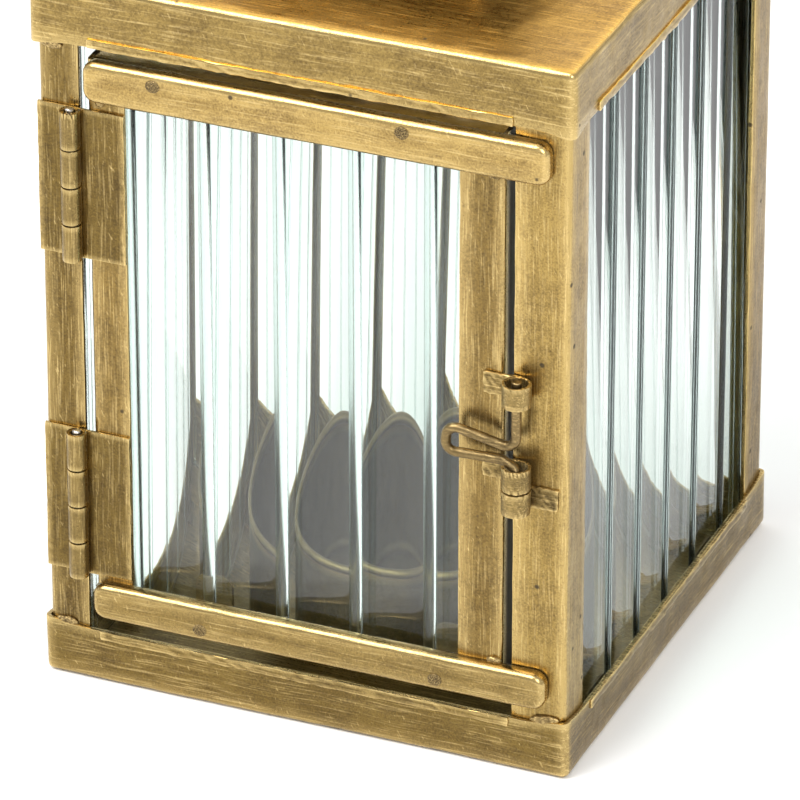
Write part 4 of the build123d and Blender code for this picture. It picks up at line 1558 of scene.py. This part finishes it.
@dataclass
class RolledSheet:
    """A strip of sheet with one edge rolled round a vertical axis into a tube."""

    axis: Vector
    outer: float
    wall: float
    start_angle: float
    sweep: float

    def tube(self, name: str, bottom: float, top: float, steps: int = 40) -> Workpiece:
        """Rolls one tube.

        Args:
            name: The piece's name.
            bottom: The height of its lower end.
            top: The height of its upper end.
            steps: Steps round the roll.

        Returns:
            The tube.
        """
        out = Vector((math.cos(self.start_angle), math.sin(self.start_angle), 0.0))
        middle = (bottom + top) / 2 - self.axis.z
        centre = self.axis + out * (self.outer - self.wall / 2) + UP * middle
        tube = Workpiece.leaf(name, centre, self.wall, top - bottom, self.start_angle)
        with tube.shaping():
            bpy.ops.mesh.select_all(action="SELECT")
            Workpiece.sweep(self.axis, UP, self.sweep, steps)
            tube.face_outwards()
            tube.slice(2, spread(bottom, top, 1.4 * MM))
        return tube


@dataclass
class ButtHinge:
    """A four-knuckle butt hinge: a leaf on the post, a leaf on the door, and a steel pin."""

    name: str
    bottom: float
    top: float
    crumple: float = 0.0
    axis: Sequence[float] = (-50.8 * MM, -61.5 * MM, 0.0)
    knuckle: float = 2.15 * MM
    wall: float = 0.85 * MM
    gap: float = 0.3 * MM
    knuckles: int = 4
    frame_edge: float = -59.0 * MM
    door_edge: float = -39.3 * MM
    frame_depth: Sequence[float] = (-59.8 * MM, -59.0 * MM)
    door_depth: Sequence[float] = (-60.1 * MM, -59.3 * MM)
    roll: float = 338.0

    def build(self) -> None:
        """Makes both leaves with their knuckles, and finishes the pin."""
        frame_leaf = self.leaf(False, self.frame_depth)
        frame_leaf.mount("case", "brass_hinge", HINGE_BRASS.material(), f"{self.name}_frame_leaf")
        door_leaf = self.leaf(True, self.door_depth)
        door_leaf.mount("door", "brass_hinge", HINGE_BRASS.material(), f"{self.name}_door_leaf")
        dress_node(f"{self.name}_pin", STEEL.material())

    def leaf(self, on_door: bool, depth: Sequence[float]) -> Workpiece:
        """One leaf with its two knuckles.

        Args:
            on_door: True for the door's leaf.
            depth: The front and back of its plate, along Y.

        Returns:
            The leaf.
        """
        side = "door" if on_door else "frame"
        centre = Vector(self.axis)
        ends = (centre.x, self.door_edge) if on_door else (self.frame_edge, centre.x)
        plate = Workpiece.block(
            f"{self.name}_{side}_leaf_sheet",
            (ends[0], depth[0], self.bottom),
            (ends[1], depth[1], self.top),
        )
        pitch = (self.top - self.bottom + self.gap) / self.knuckles
        with plate.shaping():
            plate.slice(2, spread(self.bottom, self.top, 1.2 * MM))
            plate.slice(0, spread(ends[0], ends[1], 1.5 * MM))
            plate.jitter(
                lambda p, n: min(abs(p.x - e) for e in ends) < NEAR or p.z > self.top - NEAR,
                0.10 * MM,
                5 if on_door else 6,
            )
        plate.wave(0.18 * MM, 9 * MM)
        plate.soften(0.2 * MM)
        sweep = math.radians(self.roll if on_door else -self.roll)
        roll = RolledSheet(centre, self.knuckle, self.wall, math.pi / 2, sweep)
        for k in range(self.knuckles):
            if (k % 2 == 0) is on_door:
                bottom = self.bottom + k * pitch
                tube = roll.tube(f"{self.name}_knuckle_{k}", bottom, bottom + pitch - self.gap)
                if self.crumple and k == self.knuckles - 1:
                    with tube.shaping():
                        tube.jitter(lambda p, n: p.z > self.top - 0.1 * MM, self.crumple, 9)
                tube.soften(0.16 * MM)
                plate.weld([tube])
        return plate


@dataclass
class BentWire:
    """Round wire, drawn along a path and bent at its corners in edit mode."""

    name: str
    radius: float
    corners: Sequence[Vector]
    bends: Sequence[float]

    def make(self) -> Workpiece:
        """Draws the wire.

        Returns:
            The wire, closed at both ends.
        """
        heading = (self.corners[1] - self.corners[0]).normalized()
        Workpiece.clear_bench()
        bpy.ops.mesh.primitive_circle_add(
            vertices=20,
            radius=self.radius,
            fill_type="NGON",
            location=self.corners[0],
            rotation=heading.to_track_quat("Z", "Y").to_euler(),
        )
        wire = Workpiece(self.name)
        place = Vector(self.corners[0])
        with wire.shaping():
            bpy.ops.mesh.select_all(action="SELECT")
            for corner, after, bend in zip(self.corners[1:], self.corners[2:], self.bends):
                onward = (after - corner).normalized()
                angle = heading.angle(onward)
                back = bend * math.tan(angle / 2)
                place = self.draw(place, corner - heading * back)
                axis = heading.cross(onward).normalized()
                centre = place + axis.cross(heading) * bend
                Workpiece.sweep(centre, axis, angle, 9)
                place = corner + onward * back
                heading = onward
            self.draw(place, self.corners[-1])
            wire.face_outwards()
        return wire

    @staticmethod
    def draw(start: Vector, end: Vector) -> Vector:
        """Extends the wire in short straight steps, in edit mode.

        Args:
            start: Where the selected end is.
            end: Where it goes.

        Returns:
            The end.
        """
        steps = max(1, round((end - start).length / (0.9 * MM)))
        for _ in range(steps):
            bpy.ops.mesh.extrude_region_move(TRANSFORM_OT_translate={"value": (end - start) / steps})
        return end


@dataclass
class WireLatch:
    """The drop-wire latch: two barrels on the door, a keeper on the post, and the bent wire pin."""

    axis: Vector = Vector((49.1 * MM, -62.6 * MM, 0.0))
    outer: float = 3.1 * MM
    wall: float = 0.65 * MM
    slot_angle: float = math.radians(160.0)
    slot: float = 2.9 * MM
    leaf_height: float = 5.0 * MM
    door_leaf: Sequence[float] = (40.7 * MM, -60.1 * MM, -59.3 * MM)
    keeper_leaf: Sequence[float] = (57.3 * MM, -59.8 * MM, -59.0 * MM)
    closed: float = 346.0
    wire: float = 1.07 * MM
    wire_corners: Sequence[Sequence[float]] = (
        (0.0, 0.0, 93.8),
        (0.0, 0.0, 77.8),
        (-15.0, -0.5, 81.2),
        (-15.7, -0.5, 74.9),
        (-3.3, 1.0, 74.5),
        (0.0, 0.0, 73.3),
        (0.0, 0.0, 68.8),
    )
    wire_bends: Sequence[float] = (2.4, 2.4, 2.4, 3.0, 1.8)

    def build(self) -> None:
        """Makes the barrels, the keeper and the wire."""
        quarter = math.pi / 2
        half_slot = self.slot / 2 / (self.outer - self.wall / 2)
        open_roll = (self.slot_angle - half_slot, 2 * half_slot - math.tau)
        closed_roll = (quarter, math.radians(-self.closed))
        keeper_roll = (quarter, math.radians(self.closed))
        self.barrel("latch_upper_barrel", closed_roll, self.door_leaf, "door", 21)
        self.barrel("latch_lower_barrel", open_roll, self.door_leaf, "door", 22)
        self.barrel("latch_keeper", keeper_roll, self.keeper_leaf, "case", 23)
        self.pin()

    def barrel(
        self,
        node: str,
        roll: tuple[float, float],
        leaf: Sequence[float],
        body: str,
        seed: int,
    ) -> None:
        """One rolled barrel with its leaf, roughly soldered on.

        Args:
            node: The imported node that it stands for.
            roll: The angle where the roll starts, and its sweep.
            leaf: The leaf's far edge along X, then its front and back along Y.
            body: The body that it rides on.
            seed: The seed of its roughness.
        """
        extent = Extent.of(node)
        bottom, top = extent.low.z, extent.high.z
        tube = RolledSheet(self.axis, self.outer, self.wall, *roll).tube(f"{node}_roll", bottom, top)
        with tube.shaping():
            tube.jitter(
                lambda p, n: min(abs(p.z - top), abs(p.z - bottom)) < NEAR, 0.16 * MM, seed
            )
        tube.soften(0.14 * MM)
        middle = (bottom + top) / 2
        ends = sorted((leaf[0], self.axis.x))
        half = self.leaf_height / 2
        plate = Workpiece.block(
            f"{node}_leaf", (ends[0], leaf[1], middle - half), (ends[1], leaf[2], middle + half)
        )
        with plate.shaping():
            plate.slice(0, spread(ends[0], ends[1], 0.8 * MM))
            plate.slice(2, spread(middle - half, middle + half, 0.8 * MM))
            plate.jitter(lambda p, n: abs(p.z - middle) > half - NEAR, 0.24 * MM, seed + 1)
            plate.jitter(lambda p, n: abs(p.x - leaf[0]) < NEAR, 0.3 * MM, seed + 2)
            plate.jitter(lambda p, n: n.y < -0.2, 0.09 * MM, seed + 3)
        plate.wave(0.35 * MM, 3.5 * MM)
        plate.soften(0.22 * MM)
        tube.weld([plate])
        tube.mount(body, "brass_hinge", LATCH_BRASS.material(), node)

    def pin(self) -> None:
        """The bent wire that drops through the barrels."""
        corners = [self.axis + Vector(offset) * MM for offset in self.wire_corners]
        bends = [bend * MM for bend in self.wire_bends]
        wire = BentWire("latch_pin_wire", self.wire, corners, bends).make()
        wire.wave(0.14 * MM, 2.6 * MM)
        wire.soften(0.3 * MM, 3, 60.0)
        wire.mount("latch", "brass_wire", WIRE_BRASS.material(), "latch_pin")


@dataclass(frozen=True)
class SolderDrop:
    """One drop of solder left where two sheets meet."""

    name: str
    centre: tuple[float, float, float]
    size: tuple[float, float, float]
    body: str
    turn: float = 0.0

    def build(self) -> None:
        """Makes the drop and mounts it."""
        centre = Vector(self.centre) * MM
        drop = Workpiece.lump(self.name, centre, Vector(self.size) * MM, self.turn)
        with drop.shaping():
            drop.jitter(lambda p, n: True, 0.05 * MM, len(self.name))
        drop.wave(0.5 * MM, 1.6 * MM)
        drop.mount(self.body, "brass_dark", SOLDER_BRASS.material())


SOLDER = (
    SolderDrop("solder_latch_stile_top", (43.0, -59.6, 138.3), (1.6, 0.8, 0.9), "door"),
    SolderDrop("solder_latch_stile_bottom", (43.2, -59.6, 25.1), (1.7, 0.8, 0.8), "door"),
    SolderDrop("solder_hinge_stile_top", (-44.8, -59.6, 138.2), (1.1, 0.8, 1.3), "door"),
    SolderDrop("solder_cap_left", (-55.8, -59.4, 149.6), (2.6, 0.8, 1.1), "case", 0.2),
    SolderDrop("solder_base_right", (54.6, -59.4, 13.0), (3.4, 0.7, 1.1), "case", -0.15),
    SolderDrop("solder_base_left", (-54.8, -59.4, 12.9), (2.4, 0.7, 0.9), "case", 0.1),
    SolderDrop("solder_collar_front", (-9.0, -25.2, 164.7), (3.0, 0.8, 0.6), "case"),
    SolderDrop("solder_collar_right", (25.2, 6.0, 164.7), (0.8, 4.0, 0.6), "case"),
)


# ---- studio -------------------------------------------------------------------------------------------


@dataclass(frozen=True)
class Floor(Finish):
    """Matt white board, very slightly mottled."""

    name: str = "white_board"
    half: float = 12.0
    below: float = 0.2 * MM

    def make(self, tree: FinishTree) -> bpy.types.Material:
        """The board's faint fibre and grain."""
        fibre = tree.noise(tree.place(), 9.0, 3.0)
        grain = tree.noise(tree.place(), 900.0, 3.0)
        inputs = {
            "Base Color": tree.blend(fibre, (0.94, 0.94, 0.935), (0.97, 0.97, 0.965)),
            "Roughness": (0.85 + (grain - 0.5) * 0.1).held(),
            "Normal": tree.bump(grain, 0.05, 0.05 * MM),
        }
        return tree.show(tree.principled(inputs))

    def build(self) -> None:
        """Lays the board under the lantern."""
        Workpiece.clear_bench()
        height = CAD_BOUNDS[0].z - self.below
        bpy.ops.mesh.primitive_plane_add(size=2 * self.half, location=(0.0, 0.0, height))
        board = Workpiece("floor_board")
        board.object.data.materials.append(self.material())


@dataclass(frozen=True)
class SoftLamp:
    """A large square area lamp aimed at the lantern's middle."""

    name: str
    place: tuple[float, float, float]
    side: float
    power: float

    def build(self) -> None:
        """Hangs the lamp."""
        Workpiece.clear_bench()
        aim = MIDDLE - Vector(self.place)
        turn = aim.to_track_quat("-Z", "Y").to_euler()
        bpy.ops.object.light_add(type="AREA", location=self.place, rotation=turn)
        lamp = bpy.context.active_object
        lamp.name = self.name
        lamp.data.shape = "SQUARE"
        lamp.data.size = self.side
        lamp.data.energy = self.power


@dataclass(frozen=True)
class Surround:
    """A white tent, brighter behind the lantern on its left, in the part that its top mirrors."""

    bright: float = 0.95
    behind: float = 1.45
    fringe: float = 0.45
    heart: float = 0.92
    towards: tuple[float, float, float] = (-0.34, 0.81, 0.476)

    def build(self) -> None:
        """Sets the world."""
        world = bpy.data.worlds.new("white_tent")
        bpy.context.scene.world = world
        world.use_nodes = True
        nodes, links = world.node_tree.nodes, world.node_tree.links
        nodes.clear()
        place = nodes.new("ShaderNodeTexCoord")
        facing = nodes.new("ShaderNodeVectorMath")
        facing.operation = "DOT_PRODUCT"
        facing.inputs[1].default_value = Vector(self.towards).normalized()
        glow = nodes.new("ShaderNodeMapRange")
        glow.interpolation_type = "SMOOTHSTEP"
        for socket, value in (
            ("From Min", self.fringe),
            ("From Max", self.heart),
            ("To Min", self.bright),
            ("To Max", self.behind),
        ):
            glow.inputs[socket].default_value = value
        tent = nodes.new("ShaderNodeBackground")
        output = nodes.new("ShaderNodeOutputWorld")
        links.new(place.outputs["Generated"], facing.inputs[0])
        links.new(facing.outputs["Value"], glow.inputs["Value"])
        links.new(glow.outputs["Result"], tent.inputs["Strength"])
        links.new(tent.outputs["Background"], output.inputs["Surface"])


@dataclass(frozen=True)
class Viewpoint:
    """The camera: a long lens, above the front right corner."""

    azimuth: float = 22.615
    elevation: float = 28.397
    distance: float = 1.7192
    aside: float = -2.53 * MM
    above: float = 42.29 * MM
    lens: float = 354.8
    sensor: float = 36.0

    def build(self) -> None:
        """Places the camera and makes it the scene's."""
        a, e = math.radians(self.azimuth), math.radians(self.elevation)
        back = Vector((math.sin(a) * math.cos(e), -math.cos(a) * math.cos(e), math.sin(e)))
        right = Vector((math.cos(a), math.sin(a), 0.0))
        up = back.cross(right)
        place = back * self.distance + right * self.aside + up * self.above
        Workpiece.clear_bench()
        bpy.ops.object.camera_add(location=place, rotation=back.to_track_quat("Z", "Y").to_euler())
        camera = bpy.context.active_object
        camera.name = "viewpoint"
        camera.data.sensor_width = self.sensor
        camera.data.lens = self.lens
        camera.data.clip_start = 0.05
        camera.data.clip_end = 100.0
        camera.data.dof.use_dof = False
        bpy.context.scene.camera = camera


def main() -> None:
    """Builds the lantern's looks and the studio round it."""
    logging.basicConfig(level=logging.INFO, format="%(name)s: %(message)s")
    Workpiece.clear_bench()
    FoldedTray("base_tray", True, finish=SHADED_BASE_BRASS).build()
    FoldedTray("top_cap", False, throat=44.0 * MM).build()
    for node, right, back, finish in (
        ("post_front_left", False, False, SHADED_POST_BRASS),
        ("post_front_right", True, False, POST_BRASS),
        ("post_back_left", False, True, STILE_BRASS),
        ("post_back_right", True, True, STILE_BRASS),
    ):
        FoldedAngle(node, right, back, finish=finish).build()
    FlutedPane("glass_right", Facing.RIGHT, 4.5 * MM, ridge_radius=1.0 * MM).build()
    FlutedPane("glass_left", Facing.LEFT, -4.5 * MM, ridge_radius=1.0 * MM).build()
    FlutedPane("glass_back", Facing.BACK, 0.0, ridge_radius=1.0 * MM).build()
    for node in ("pane_tabs_right", "pane_tabs_back", "pane_tabs_left", "door_glass_clips"):
        dress_node(node, DARK_AND_RIVET_SHADE_BRASS.material())
    CandleCup().build()
    Chimney().build()
    CarryRing().build()
    DoorRail("door_top_rail", flange=(-46.7 * MM, 44.0 * MM, -53.4 * MM)).build()
    DoorRail("door_bottom_rail", finish=SHADED_RAIL_BRASS).build()
    FoldedAngle("door_hinge_stile", False, False, "door", STILE_SHEET, 1.1 * MM).build()
    FoldedAngle("door_latch_stile", True, False, "door", STILE_SHEET, 1.1 * MM).build()
    FlutedPane("door_glass", Facing.FRONT, -5.9 * MM, "door", flute_depth=2.0 * MM).build()
    ClipRivets().build()
    ButtHinge("upper_hinge", 101.45 * MM, 135.95 * MM, crumple=0.3 * MM).build()
    ButtHinge("lower_hinge", 26.05 * MM, 60.55 * MM).build()
    WireLatch().build()
    for drop in SOLDER:
        drop.build()
    Floor().build()
    Surround().build()
    SoftLamp("key_lamp", (0.95, -1.15, 1.05), 0.8, 12.0).build()
    SoftLamp("top_lamp", (-0.52, -0.72, 1.30), 0.9, 20.0).build()
    Viewpoint().build()
    bpy.context.scene.view_settings.view_transform = "Standard"


if __name__ == "__main__":
    main()
